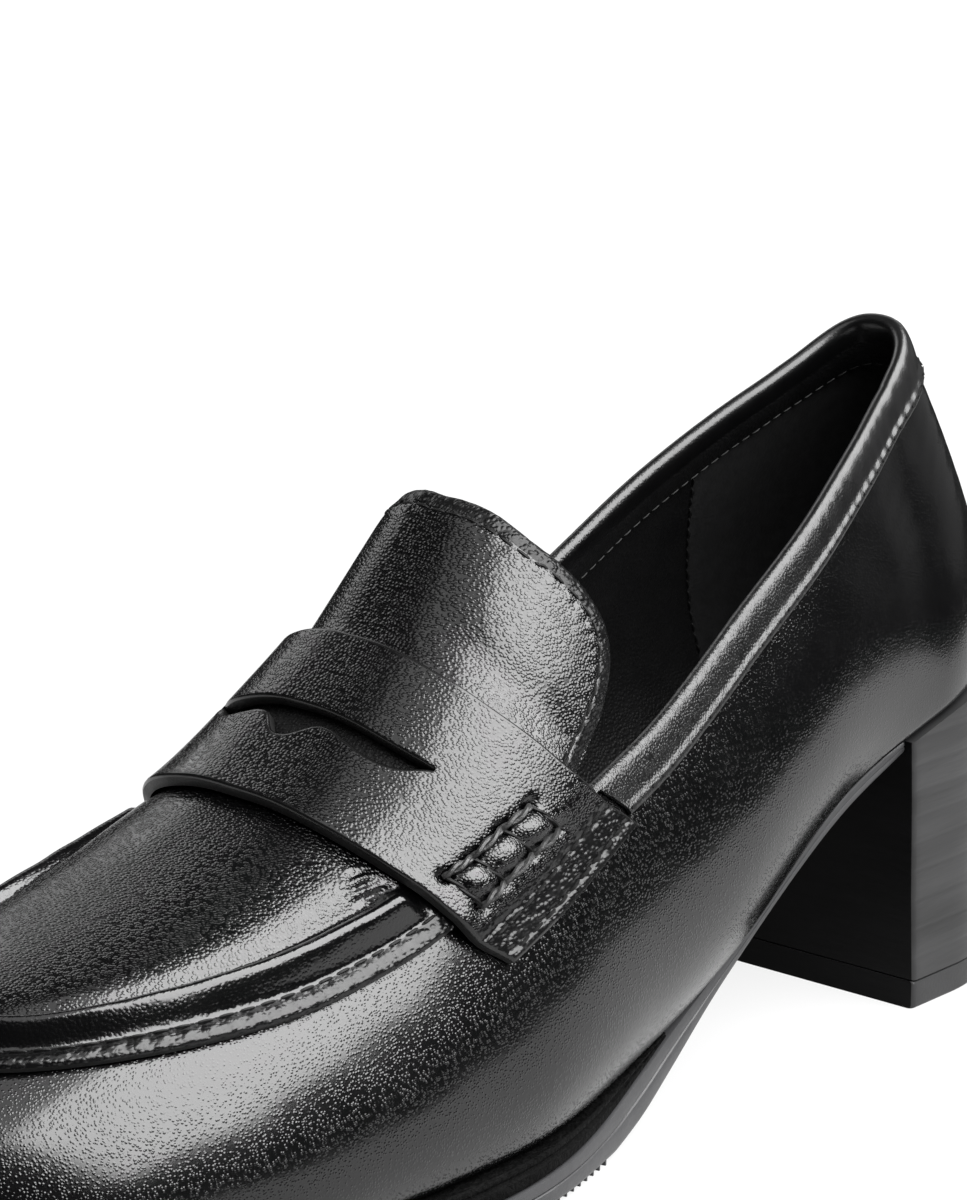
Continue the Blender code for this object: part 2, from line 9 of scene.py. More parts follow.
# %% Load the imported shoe
import bpy
import numpy as np
from mathutils import Matrix


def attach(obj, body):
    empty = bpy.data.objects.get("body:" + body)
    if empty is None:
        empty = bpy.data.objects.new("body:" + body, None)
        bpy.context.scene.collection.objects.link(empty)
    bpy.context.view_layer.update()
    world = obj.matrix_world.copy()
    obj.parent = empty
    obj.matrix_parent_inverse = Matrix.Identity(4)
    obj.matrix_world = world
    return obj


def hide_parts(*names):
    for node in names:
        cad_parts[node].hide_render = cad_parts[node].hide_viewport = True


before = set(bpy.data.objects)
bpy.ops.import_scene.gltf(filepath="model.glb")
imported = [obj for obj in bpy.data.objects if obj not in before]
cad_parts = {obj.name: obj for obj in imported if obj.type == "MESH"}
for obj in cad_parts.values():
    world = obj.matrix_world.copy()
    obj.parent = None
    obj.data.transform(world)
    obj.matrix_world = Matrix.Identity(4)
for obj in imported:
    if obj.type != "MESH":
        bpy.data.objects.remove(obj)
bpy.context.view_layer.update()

print("nodes", sorted(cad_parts))

# %% [markdown]
# ## The last
#
# A shoemaker pulls leather over a last, a wooden foot. Here the last is a formula. One number,
# the walk, goes round the foot: 0 to 1 is the back of the heel, 1 to 2 is the side, 2 to 3 is the
# toe. A second one, the climb, rises from 0 at the feather edge, where the upper meets the sole, to
# 1 at the spine along the top. A scan or a sculpted mesh could do the same job, but a formula gives
# exact points and directions anywhere, so seams and threads can be laid on it afterwards.
# Tables are in millimetres: station from the heel to the toe, side positive outwards, height from
# the floor.

# %% Tables of the last
MM = 0.001
ORIGIN = np.array([126.3, -0.7, 0.0])
LATERAL, MEDIAL = 1, -1


def table(columns, rows):
    """A table as one array for each named column."""
    values = np.array(rows, float)
    return {name: values[:, k] for k, name in enumerate(columns.split())}


LAST = table("station lateral medial feather spine spine_side", (
    (0, 24.3, 21, 57, 142, -0.5), (30, 25, 23.6, 50.5, 140, -0.5), (55, 24.5, 21.8, 42, 136, -1.7),
    (85, 24.5, 19, 22, 125, -2.2), (115, 29, 22, 12.8, 105, -3), (145, 36, 31, 10.4, 77, -4.5),
    (160, 36.7, 35.5, 10.2, 65, -5), (180, 36.6, 38.5, 10.5, 56, -5), (212, 36.9, 30.8, 12, 47.5, -5),
    (248, 20, 20, 15, 42, -5),
))
FULLNESS = table("station across upwards lateral medial", (
    (4, 1.04, 1.7, 0.12, 0.12), (11, 0.88, 1.56, 0.106, 0.119), (20, 0.81, 1.45, 0.096, 0.123),
    (30, 0.87, 1.4, 0.10, 0.14), (42, 1.06, 1.46, 0.14, 0.195), (55, 1.23, 1.6, 0.20, 0.28),
    (66, 1.4, 1.71, 0.26, 0.38), (85, 1.65, 1.9, 0.34, 0.54), (115, 2.5, 2.1, 0.24, 0.46),
    (145, 2.9, 2.3, 0.10, 0.18), (180, 2.9, 2.4, 0.07, 0.06), (212, 3.0, 2.6, 0.04, 0.04),
    (248, 3.1, 2.8, 0.02, 0.02),
))
HEEL_BACK, HEEL_CENTRE, TOE_CENTRE, TOE_END = 4.0, 30.0, 180.0, 248.0
HEEL_POWER, TOE_POWER_LATERAL, TOE_POWER_MEDIAL = 2.2, 2.2, 2.6
TOE_SWING = -6.0
BULGE_HEIGHT = 0.25
NUDGE = 0.002


def smooth(x, xs, ys):
    """A curve through a table's points: cubic pieces with a slope at each point from its neighbours."""
    slope = np.gradient(ys, xs)
    x = np.clip(x, xs[0], xs[-1])
    k = np.clip(np.searchsorted(xs, x, side="right") - 1, 0, len(xs) - 2)
    span = xs[k + 1] - xs[k]
    t = (x - xs[k]) / span
    start = (1 + 2 * t) * (1 - t) ** 2 * ys[k] + t * (1 - t) ** 2 * span * slope[k]
    return start + t ** 2 * (3 - 2 * t) * ys[k + 1] + t ** 2 * (t - 1) * span * slope[k + 1]


def step(x, low, high):
    """A soft step from 0 at low to 1 at high."""
    t = np.clip((x - low) / (high - low), 0.0, 1.0)
    return t * t * (3 - 2 * t)


def hump(x, centre, width):
    """A soft bump of height 1: a bell curve about its centre."""
    return np.exp(-((x - centre) / width) ** 2)


# %% [markdown]
# The plan of the feather edge is a superellipse at the heel, a drawn side and another superellipse
# at the toe. A freehand curve could follow a footprint, but a superellipse needs only its half axes and
# one power, which says how square the toe is.

# %% Plan of the feather edge
def feather_height(station):
    """Height of the feather edge over a station."""
    return smooth(station, LAST["station"], LAST["feather"])


def by_side(side, station, source, lateral="lateral", medial="medial"):
    """A table's lateral or medial column at a station."""
    there = smooth(station, source["station"], source[lateral])
    return np.where(side > 0, there, smooth(station, source["station"], source[medial]))


def walk_at(station):
    """Walk of a station along the side of the foot."""
    return 1 + (station - HEEL_CENTRE) / (TOE_CENTRE - HEEL_CENTRE)


def fan_radius(a, b, power, cosine, sine):
    """Radius of a superellipse with half axes a and b: |x/a|^p + |y/b|^p = 1."""
    return (np.abs(cosine / a) ** power + np.abs(sine / b) ** power) ** (-1 / power)


def feather_and_spine(walk, side):
    """Plan of the feather edge, and of the spine point that its section rises to."""
    heel = np.clip(walk, 0, 1) * np.pi / 2
    toe = np.clip(walk - 2, 0, 1) * np.pi / 2
    spine_x = HEEL_CENTRE + np.clip(walk - 1, 0, 1) * (TOE_CENTRE - HEEL_CENTRE)
    power = np.where(side > 0, TOE_POWER_LATERAL, TOE_POWER_MEDIAL)
    heel_side, toe_side = (by_side(side, centre, LAST) for centre in (HEEL_CENTRE, TOE_CENTRE))
    heel_r = fan_radius(HEEL_CENTRE - HEEL_BACK, heel_side, HEEL_POWER, np.cos(heel), np.sin(heel))
    toe_r = fan_radius(TOE_END - TOE_CENTRE, toe_side, power, np.sin(toe), np.cos(toe))
    x = np.where(walk < 1, HEEL_CENTRE - heel_r * np.cos(heel), spine_x)
    x = np.where(walk > 2, TOE_CENTRE + toe_r * np.sin(toe), x)
    y = np.where(walk < 1, heel_r * np.sin(heel), by_side(side, spine_x, LAST))
    y = side * np.where(walk > 2, toe_r * np.cos(toe), y)
    return x, y, spine_x, smooth(spine_x, LAST["station"], LAST["spine_side"])


def swing(station):
    """The toe's curve towards the inner side of the foot, growing with the square of the way."""
    return TOE_SWING * np.clip((station - TOE_CENTRE) / (TOE_END - TOE_CENTRE), 0.0, 1.0) ** 2


print("toe's tip at station", TOE_END, "swung inwards by", -TOE_SWING, "mm")

# %% [markdown]
# Each section above the feather edge rises to the spine as a superellipse too, with a belly low on its
# side. The direction that points out of the leather comes from two small steps on the surface.

# %% Points and directions of the last
def last_point(walk, climb, side):
    """A point of the last: from feather to spine by a superellipse, plus a belly low on the side."""
    walk, climb, side = np.broadcast_arrays(np.asarray(walk, float), np.asarray(climb, float), side)
    foot_x, foot_y, spine_x, spine_y = feather_and_spine(walk, side)
    across = smooth(foot_x, FULLNESS["station"], FULLNESS["across"])
    upwards = smooth(foot_x, FULLNESS["station"], FULLNESS["upwards"])
    turn = climb * np.pi / 2
    rise = np.sin(turn) ** (2 / upwards)
    fade = (1 - BULGE_HEIGHT) / BULGE_HEIGHT
    belly = rise / BULGE_HEIGHT * ((1 - rise) / (1 - BULGE_HEIGHT)) ** fade
    reach = np.maximum(np.cos(turn), 0.0) ** (2 / across) + by_side(side, foot_x, FULLNESS) * belly
    x = spine_x + (foot_x - spine_x) * reach
    y = spine_y + (foot_y - spine_y) * reach + swing(x)
    low = feather_height(foot_x)
    return np.stack([x, y, low + (smooth(x, LAST["station"], LAST["spine"]) - low) * rise], -1)


def unit(vectors):
    """Vectors made one long."""
    return vectors / np.maximum(np.linalg.norm(vectors, axis=-1, keepdims=True), 1e-12)


def last_normal(walk, climb, side):
    """Outward direction: the cross product of a small step along the walk and one up the climb."""
    walk, climb, side = np.broadcast_arrays(np.asarray(walk, float), np.asarray(climb, float), side)
    ahead, behind = np.minimum(walk + NUDGE, 3), np.maximum(walk - NUDGE, 0)
    along = last_point(ahead, climb, side) - last_point(behind, climb, side)
    above, below = np.minimum(climb + NUDGE, 1), np.maximum(climb - NUDGE, 0)
    up = last_point(walk, above, side) - last_point(walk, below, side)
    spine_x = feather_and_spine(walk, side)[2]
    ahead, behind = (smooth(spine_x + d, LAST["station"], LAST["spine"]) for d in (1, -1))
    ridge = np.stack([(behind - ahead) / 2, 0 * ahead, 1 + 0 * ahead], -1)
    return unit(np.where((climb == 1)[..., None], ridge, -side[..., None] * np.cross(along, up)))


def skin(walk, climb, side, offset):
    """A point at an offset outside the last."""
    return last_point(walk, climb, side) + last_normal(walk, climb, side) * np.asarray(offset)[..., None]


print("ball of the foot, outer side", last_point(walk_at(155.0), 0.2, LATERAL).round(1))

# %% [markdown]
# Leather is measured along its surface, so seams sit at so many millimetres from an edge. This
# helper walks up each section in small steps and finds the climb at a wanted length. The collar's
# height comes from a table of the side view, and the throat then climbs to the spine.

# %% Lengths on the last, and the collar line
COLLAR = table("station height", (
    (16, 114.8), (18, 113.2), (21, 110.95), (24, 108.95), (30, 105.5), (40, 100.3), (50, 95.2), (66, 86.9),
    (80, 79.8), (95, 72.4), (108, 66.6), (126, 60.5),
))
COLLAR_END, THROAT_END = 126.0, 140.0
SECTION_SAMPLES = 161
HALVINGS = 30


def climb_at_length(walk, side, start, end, wanted):
    """Climb at each wanted length from start towards end. wanted may be a function of the whole length."""
    fine = start[:, None] + (end - start)[:, None] * np.linspace(0, 1, SECTION_SAMPLES)
    points = last_point(walk[:, None], fine, side[:, None])
    run = np.cumsum(np.linalg.norm(np.diff(points, axis=1), axis=-1), axis=1)
    run = np.hstack([np.zeros((len(walk), 1)), run])
    wanted = wanted(run[:, -1:]) if callable(wanted) else wanted
    wanted = np.broadcast_to(wanted, (len(walk), np.shape(wanted)[-1]))
    k = np.clip((run[:, None, :] <= wanted[:, :, None]).sum(-1) - 1, 0, SECTION_SAMPLES - 2)
    low, high = np.take_along_axis(run, k, 1), np.take_along_axis(run, k + 1, 1)
    share = np.clip((wanted - low) / np.maximum(high - low, 1e-9), 0, 1)
    return np.take_along_axis(fine, k, 1) * (1 - share) + np.take_along_axis(fine, k + 1, 1) * share


def collar_climb(walk, side):
    """Climb of the upper's top edge, found by halving until the section meets the collar's side view."""
    foot_x = feather_and_spine(walk, side)[0]
    low, high = np.zeros_like(walk), np.ones_like(walk)
    for _ in range(HALVINGS):
        middle = (low + high) / 2
        point = last_point(walk, middle, side)
        under = point[..., 2] < smooth(point[..., 0], COLLAR["station"], COLLAR["height"])
        low, high = np.where(under, middle, low), np.where(under, high, middle)
    throat = step(foot_x, COLLAR_END, THROAT_END)
    return np.where(foot_x >= THROAT_END, 1.0, low + (1 - low) * throat)


def round_the_foot(heel_steps, side_steps, toe_steps, start=0.0):
    """Walk and side of columns along the outer side to the toe's tip and back along the inner side."""
    parts = [np.linspace(0, 1, heel_steps + 1), np.linspace(1, 2, side_steps + 1)[1:],
             np.linspace(2, 3, toe_steps + 1)[1:]]
    one = np.concatenate(parts)
    one = one[one >= start]
    return np.concatenate([one, one[::-1]]), np.repeat([LATERAL, MEDIAL], len(one))


print("collar at the back", smooth(COLLAR["station"][0], COLLAR["station"], COLLAR["height"]), "mm high")

# %% [markdown]
# ## From grids to closed meshes
#
# A surface over a grid of columns and rows has a face for each cell. Points that fall together, as on
# the spine and at the back of the heel, are welded to one, and cells that shrink to a line are dropped.
# Blender's merge by distance would do this too, but here the numbers of the cells are still needed.

# %% Cells, welding and free edges
WELD = 0.004
LATTICE_SHIFT = 0.371


def grid_quads(columns, rows, hole=None):
    """Corner numbers of a grid's cells, as whole arrays, without the cells of a hole."""
    i, j = np.meshgrid(np.arange(columns - 1), np.arange(rows - 1), indexing="ij")
    corner = i * rows + j
    quads = np.stack([corner, corner + rows, corner + rows + 1, corner + 1], -1)
    return quads.reshape(-1, 4) if hole is None else quads[~hole]


def weld(points):
    """Points in one cell of a fine lattice share one number: the first of each, and every point's number."""
    cell = np.floor(points / WELD + LATTICE_SHIFT).astype(np.int64)
    _, first, ids = np.unique(cell, axis=0, return_index=True, return_inverse=True)
    return first, ids.reshape(-1)


def clean_faces(quads):
    """Whole quads, triangles from quads in which two neighbours are one point, and which cells they were."""
    same = quads == np.roll(quads, -1, axis=1)
    crossed = (quads[:, 0] == quads[:, 2]) | (quads[:, 1] == quads[:, 3])
    pinched = (same.sum(1) == 1) & ~crossed
    keep = (np.argmax(same[pinched], axis=1)[:, None] + 1 + np.arange(3)) % 4
    whole = (same.sum(1) == 0) & ~crossed
    return quads[whole], np.take_along_axis(quads[pinched], keep, 1), whole, pinched


def free_edges(*blocks):
    """Directed edges that only one face uses."""
    pairs = [np.stack([block, np.roll(block, -1, axis=1)], -1).reshape(-1, 2) for block in blocks]
    pairs = np.concatenate(pairs)
    key = pairs.min(1) * (pairs.max() + 1) + pairs.max(1)
    _, first, uses = np.unique(key, return_index=True, return_counts=True)
    return pairs[first[uses == 1]]


# %% [markdown]
# A piece is a mesh at the origin that rides on the shoe's one body. Its faces should point outwards, so
# the signed volume is worked out first, and a negative one turns every face round.

# %% Adding a piece
SHARP_DEGREES = 42.0


def volume(points, *blocks):
    """Signed volume inside closed faces: a sixth of the triple products of their triangles."""
    total = 0.0
    for block in blocks:
        for k in range(1, block.shape[1] - 1):
            a, b, c = points[block[:, 0]], points[block[:, k]], points[block[:, k + 1]]
            total += np.einsum("ij,ij->", a, np.cross(b, c)) / 6
    return total


def add_piece(name, points, blocks, finishes, replaced=(), kinds=None):
    """A mesh object at the origin that rides on the shoe. kinds gives each block's finish by number."""
    if volume(points, *blocks) < 0:
        blocks = [block[:, ::-1] for block in blocks]
    mesh = bpy.data.meshes.new(name)
    mesh.from_pydata(((points - ORIGIN) * MM).tolist(), [], [face for block in blocks for face in block.tolist()])
    for finish in finishes:
        mesh.materials.append(finish)
    if kinds is not None:
        mesh.polygons.foreach_set("material_index", np.concatenate(kinds).astype(np.int32))
    mesh.validate()
    mesh.shade_smooth()
    mesh.set_sharp_from_angle(angle=np.radians(SHARP_DEGREES))
    piece = bpy.data.objects.new(name, mesh)
    bpy.context.scene.collection.objects.link(piece)
    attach(piece, "root")
    if replaced:
        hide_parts(*replaced)
    print(f"{name}: {len(points)} points, {sum(len(block) for block in blocks)} faces")
    return piece


def repaint(piece, kind, new_kind, chosen):
    """Faces of one finish whose centres, in millimetres on the last, pass a test get another finish."""
    count = len(piece.data.polygons)
    centres, kinds = np.empty(3 * count), np.empty(count, np.int32)
    piece.data.polygons.foreach_get("center", centres)
    piece.data.polygons.foreach_get("material_index", kinds)
    inside = chosen(centres.reshape(-1, 3) / MM + ORIGIN) & (kinds == kind)
    piece.data.polygons.foreach_set("material_index", np.where(inside, new_kind, kinds).astype(np.int32))
    print(f"{piece.name}: {inside.sum()} faces take finish {new_kind}")


# %% [markdown]
# A sheet of leather is two skins over one grid, with a rim between them along every free edge. A
# Solidify modifier could thicken a single skin, but two skins let the thickness change where a seam
# pulls the leather down. Sole and heel are lofts instead: closed rings, joined one to the next.

# %% Sheets and lofts
def add_sheet(name, outer, inner, finishes, replaced=(), hole=None, cell_kinds=0, inner_kind=0, rim_kind=0):
    """A closed sheet: outer skin with a finish for each cell, inner skin turned round, and a rim between them."""
    columns, rows, _ = outer.shape
    first, ids = weld(outer.reshape(-1, 3))
    count = len(first)
    whole, corners, is_whole, is_corner = clean_faces(ids[grid_quads(columns, rows, hole)])
    cell_kinds = np.broadcast_to(cell_kinds, (columns - 1, rows - 1))
    cell_kinds = cell_kinds.reshape(-1) if hole is None else cell_kinds[~hole]
    rim = free_edges(whole, corners)
    rim = np.stack([rim[:, 1], rim[:, 0], rim[:, 0] + count, rim[:, 1] + count], -1)
    points = np.vstack([outer.reshape(-1, 3)[first], inner.reshape(-1, 3)[first]])
    blocks = [whole, corners, whole[:, ::-1] + count, corners[:, ::-1] + count, rim]
    kinds = [np.full(len(block), kind) for block, kind in zip(blocks[2:], (inner_kind, inner_kind, rim_kind))]
    kinds = [cell_kinds[is_whole], cell_kinds[is_corner], *kinds]
    return add_piece(name, points, blocks, finishes, replaced, kinds)


def add_loft(name, rings, finishes, replaced=(), caps=(False, False), ring_kinds=None):
    """A solid through closed rings. A cap is a fan from the middle of an end ring."""
    count, size, _ = rings.shape
    corner = np.arange(count * size).reshape(count, size)
    turned = np.roll(corner, -1, axis=1)
    quads = np.stack([corner[:-1], corner[1:], turned[1:], turned[:-1]], -1).reshape(-1, 4)
    points = rings.reshape(-1, 3)
    first, ids = weld(points)
    quads, corners, is_whole, _ = clean_faces(ids[quads])
    points, fans = points[first], []
    for wanted, end in zip(caps, (0, -1)):
        if wanted:
            ring = ids[corner[end]]
            fan = np.stack([ring, np.roll(ring, -1), np.full(size, len(points))], -1)
            fans.append(fan[:, ::-1] if end == 0 else fan)
            points = np.vstack([points, rings[end].mean(0)])
    blocks = [quads, *([corners] if len(corners) else []), *fans]
    kinds = None
    if ring_kinds is not None:
        kinds = np.broadcast_to(ring_kinds, (count - 1, size)).reshape(-1)[is_whole]
        kinds = [kinds, *(np.zeros(len(b)) for b in blocks[1:])]
    return add_piece(name, points, blocks, finishes, replaced, kinds)


# %% [markdown]
# ## Finishes
#
# A finish is a small net of nodes. These helpers set sockets by name, so that a finish reads as a list
# of what it is made of. All patterns read Object coordinates in metres, so they keep one size on every
# piece, and values that are the same all over are set on the shader's own sockets.

# %% Node helpers
def new_material(name, colour, roughness, **sockets):
    """A material, its shader and its node tree, with values set on the shader's own sockets."""
    finish = bpy.data.materials.new(name)
    finish.use_nodes = True
    finish.diffuse_color = (*colour, 1)
    shader = finish.node_tree.nodes["Principled BSDF"]
    shader.inputs["Base Color"].default_value = (*colour, 1)
    shader.inputs["Roughness"].default_value = roughness
    for socket, value in sockets.items():
        shader.inputs[socket.replace("_", " ")].default_value = value
    return finish, shader, finish.node_tree


def add_node(tree, kind, **values):
    """A node with its properties and sockets set by name."""
    node = tree.nodes.new(kind)
    for name, value in values.items():
        if hasattr(node, name):
            setattr(node, name, value)
        else:
            node.inputs[name.replace("_", " ")].default_value = value
    return node


def object_space(tree, stretch=(1, 1, 1), turn=(0, 0, 0)):
    """Object coordinates, turned and stretched by a Mapping node."""
    place = add_node(tree, "ShaderNodeMapping", Scale=stretch, Rotation=np.radians(turn))
    tree.links.new(tree.nodes.new("ShaderNodeTexCoord").outputs["Object"], place.inputs["Vector"])
    return place.outputs["Vector"]


def add_bump(tree, height, distance, strength, before=None):
    """A bump of a height in metres, on top of an earlier one."""
    bump = add_node(tree, "ShaderNodeBump", Strength=strength, Distance=distance)
    tree.links.new(height, bump.inputs["Height"])
    if before is not None:
        tree.links.new(before, bump.inputs["Normal"])
    return bump.outputs["Normal"]


def noise_range(tree, space, size, low, high, detail=3.0):
    """Noise of a size in metres, spread from low to high."""
    noise = add_node(tree, "ShaderNodeTexNoise", Scale=1 / size, Detail=detail)
    tree.links.new(space, noise.inputs["Vector"])
    spread = add_node(tree, "ShaderNodeMapRange", From_Min=0.3, From_Max=0.7, To_Min=low, To_Max=high)
    tree.links.new(noise.outputs["Fac"], spread.inputs["Value"])
    return spread.outputs["Result"]


# %% [markdown]
# The leather is black and glossy, with a pebbled grain of about half a millimetre that shows where a
# light is mirrored. Grain this fine would need millions of faces, so it is a bump: a soft dome on each
# cell of a Voronoi pattern that noise has pushed about, over soft creases. Every part has its own
# finish, because leather is drawn across tongue and strap, polished on the ridge, calm at the heel and
# gathered at the sewn margins.

# %% Leather
PUSH = 0.4
CREASE_SIZE, GLOSS_PATCH = 0.009, 0.006


def leather(name, colour, rough, cell, depth, stretch=(1, 1, 1), crease=0.00003, calm=None, dome=(0.2, 0.7)):
    """Pebbled leather: a soft step down from each cell's middle, between two distances, calmer towards the heel."""
    finish, shader, tree = new_material(name, colour, rough[0], Coat_Weight=0.1, Coat_Roughness=0.12)
    space = object_space(tree, stretch)
    push = add_node(tree, "ShaderNodeTexNoise", Scale=0.5 / cell, Detail=2.0)
    tree.links.new(space, push.inputs["Vector"])
    moved = add_node(tree, "ShaderNodeVectorMath", operation="MULTIPLY_ADD")
    moved.inputs[1].default_value = (PUSH * cell, PUSH * cell, PUSH * cell)
    tree.links.new(push.outputs["Color"], moved.inputs[0])
    tree.links.new(space, moved.inputs[2])
    cells = add_node(tree, "ShaderNodeTexVoronoi", feature="F1", Scale=1 / cell, Randomness=0.8)
    tree.links.new(moved.outputs["Vector"], cells.inputs["Vector"])
    pebble = add_node(tree, "ShaderNodeMapRange", interpolation_type="SMOOTHSTEP",
                      From_Min=dome[0], From_Max=dome[1], To_Min=1.0, To_Max=0.0)
    tree.links.new(cells.outputs["Distance"], pebble.inputs["Value"])
    height = pebble.outputs["Result"]
    if calm:
        split = tree.nodes.new("ShaderNodeSeparateXYZ")
        tree.links.new(tree.nodes.new("ShaderNodeTexCoord").outputs["Object"], split.inputs["Vector"])
        fade = add_node(tree, "ShaderNodeMapRange", From_Min=calm[0], From_Max=calm[1], To_Min=calm[2], To_Max=1.0)
        tree.links.new(split.outputs["X"], fade.inputs["Value"])
        faded = add_node(tree, "ShaderNodeMath", operation="MULTIPLY")
        tree.links.new(height, faded.inputs[0])
        tree.links.new(fade.outputs["Result"], faded.inputs[1])
        height = faded.outputs["Value"]
    soft = add_bump(tree, noise_range(tree, space, CREASE_SIZE, 0, 1), crease, 0.5)
    tree.links.new(add_bump(tree, height, depth, 1.0, soft), shader.inputs["Normal"])
    tree.links.new(noise_range(tree, space, GLOSS_PATCH, *rough), shader.inputs["Roughness"])
    return finish


BLACK = (0.0006, 0.0006, 0.0007)
vamp_leather = leather("vamp_leather", BLACK, (0.17, 0.21), 0.00050, 0.00005,
                       calm=(-0.085, -0.01, 0.3), dome=(0.0, 0.55))
plug_leather = leather("plug_leather", BLACK, (0.17, 0.21), 0.00050, 0.00006, (1, 0.7, 1))
ridge_leather = leather("ridge_leather", BLACK, (0.16, 0.2), 0.00060, 0.00002)
pucker_leather = leather("pucker_leather", BLACK, (0.24, 0.3), 0.00080, 0.00008, (0.8, 1, 1), dome=(0.05, 0.7))
margin_leather = leather("margin_leather", BLACK, (0.28, 0.34), 0.00080, 0.00012, (0.8, 1, 1), dome=(0.05, 0.7))
tongue_leather = leather("tongue_leather", BLACK, (0.17, 0.21), 0.00050, 0.00007, (1, 0.6, 1))
strap_leather = leather("strap_leather", BLACK, (0.17, 0.21), 0.00048, 0.00006, (1, 0.65, 1))
binding_leather = leather("binding_leather", BLACK, (0.28, 0.34), 0.00050, 0.00006, (1.4, 0.8, 1),
                          calm=(-0.09, 0.0, 0.15))
hidden_leather = leather("hidden_leather", BLACK, (0.5, 0.6), 0.0006, 0.0001)
lining_leather = leather("lining_leather", BLACK, (0.5, 0.6), 0.0006, 0.00006)
sock_leather = leather("sock_leather", (0.12, 0.12, 0.123), (0.5, 0.6), 0.0006, 0.00006)
for finish, gloss in ((hidden_leather, 0.2), (lining_leather, 0.2), (sock_leather, 0.2), (margin_leather, 0.25),
                      (pucker_leather, 0.38)):
    sockets = finish.node_tree.nodes["Principled BSDF"].inputs
    sockets["Coat Weight"].default_value = 0.0
    sockets["Specular IOR Level"].default_value = gloss
print("leathers", [finish.name for finish in bpy.data.materials if "leather" in finish.name])

# %% [markdown]
# The other finishes are plainer: fine noise for the bump and the gloss, and for the tone where it varies.
# Machine thread is a dull black twist, and the hand-sewn ladder has a greyer one. The sole is satin grey
# rubber, the welt is black with a fibrous edge, and the heel is a stained stack whose layers differ a
# little in tone, in bands along the height.

# %% Thread, rubber, welt and heel stack
DULL_PATCH = 0.008


def speckled(name, colour, rough, size, depth, stretch=(1, 1, 1), tone=0.0, **sockets):
    """A finish with a fine noise bump and roughness, and a colour that varies by the tone's share."""
    finish, shader, tree = new_material(name, colour, rough[0], **sockets)
    space = object_space(tree, stretch)
    tree.links.new(add_bump(tree, noise_range(tree, space, size, 0, 1), depth, 0.6), shader.inputs["Normal"])
    tree.links.new(noise_range(tree, space, DULL_PATCH, *rough), shader.inputs["Roughness"])
    if tone:
        shade = add_node(tree, "ShaderNodeMix", data_type="RGBA")
        shade.inputs["A"].default_value = (*(c * (1 - tone) for c in colour), 1)
        shade.inputs["B"].default_value = (*(c * (1 + tone) for c in colour), 1)
        tree.links.new(noise_range(tree, space, size * 3, 0, 1), shade.inputs["Factor"])
        tree.links.new(shade.outputs["Result"], shader.inputs["Base Color"])
    return finish


black_thread = speckled("black_thread", (0.002, 0.002, 0.002), (0.5, 0.6), 0.0004, 0.00006,
                        Specular_IOR_Level=0.2)
ladder_thread = speckled("ladder_thread", (0.016, 0.016, 0.016), (0.4, 0.5), 0.0005, 0.00008, tone=0.5)
lining_thread = speckled("lining_thread", (0.002, 0.002, 0.002), (0.5, 0.6), 0.0003, 0.00004,
                         Specular_IOR_Level=0.2)
grey_rubber = speckled("grey_rubber", (0.028, 0.028, 0.0295), (0.42, 0.5), 0.0006, 0.00002, tone=0.06)
welt_black = speckled("welt_black", (0.001, 0.001, 0.001), (0.6, 0.75), 0.0010, 0.0006, tone=0.6,
                      Specular_IOR_Level=0.06)
heel_stack = speckled("heel_stack", (0.011, 0.011, 0.0113), (0.38, 0.5), 0.0016, 0.00009, (0.12, 0.12, 1), tone=0.5)
breast_cover = speckled("breast_cover", (0.0008, 0.0008, 0.0009), (0.4, 0.5), 0.0012, 0.00004, (0.2, 0.2, 1),
                        tone=0.4, Specular_IOR_Level=0.1)
lift_rubber = speckled("lift_rubber", (0.012, 0.012, 0.0125), (0.45, 0.55), 0.0006, 0.00003, tone=0.1)
suede = speckled("heel_grip_suede", (0.004, 0.004, 0.0042), (0.8, 0.95), 0.0007, 0.0001, tone=0.4,
                 Specular_IOR_Level=0.2)
cut_edge = speckled("cut_edge", (0.003, 0.003, 0.003), (0.45, 0.6), 0.0004, 0.00005, tone=0.3)
waxed_edge = speckled("waxed_edge", (0.003, 0.003, 0.003), (0.2, 0.28), 0.0008, 0.00001, tone=0.2)
print("finishes in all", len(bpy.data.materials))

# %% [markdown]
# ## Vamp and quarters
#
# The upper is one wall of leather, 1.8 mm thick, pulled over the last. Its skin isn't perfect: it
# rolls in where it is tucked under at the feather edge, waves very softly where the lasting pulled it,
# and has fine wrinkles at the back. Sculpting could add these by hand, but sines over the last repeat
# exactly. The wall's inside is the lining, with a suede grip round the heel.

# %% The upper
WALL = 1.8
UPPER_ROWS = 84
FEATHER_ROLL, FEATHER_TUCK = 2.2, 0.7
LASTING_WAVE, WRINKLE = 0.07, 0.03
GRIP_LOW, GRIP_LOW_HEIGHT, GRIP_LEAN = 38.0, 58.0, 0.24


def lasting_waves(points, height):
    """Very soft waves of the pulled leather: three crossing sines of 17 to 41 mm."""
    x, y, z = points[..., 0], points[..., 1], points[..., 2]
    waves = np.sin((x + 0.6 * z) / 4.1) + np.sin((y * 1.3 - x * 0.5) / 5.3) + np.sin((z - 0.7 * x) / 2.7)
    return height * waves / 3


def quarter_wrinkles(points, height):
    """Fine slanting wrinkles at the back of the quarters: one warped sine that fades in and out in patches."""
    x, y, z = points[..., 0], points[..., 1], points[..., 2]
    wave = np.sin((0.8 * z + 0.6 * x) / 0.62 + 1.6 * np.sin((z - x) / 7.0) + np.sin(x / 3.1))
    patch = 0.5 + 0.5 * np.sin(z / 6.3 + 2 * np.sin(x / 9.0)) * np.sin(x / 7.7 + y / 11.0)
    return height * wave * patch * (1 - step(x, 45, 80)) * step(z, 62, 80)


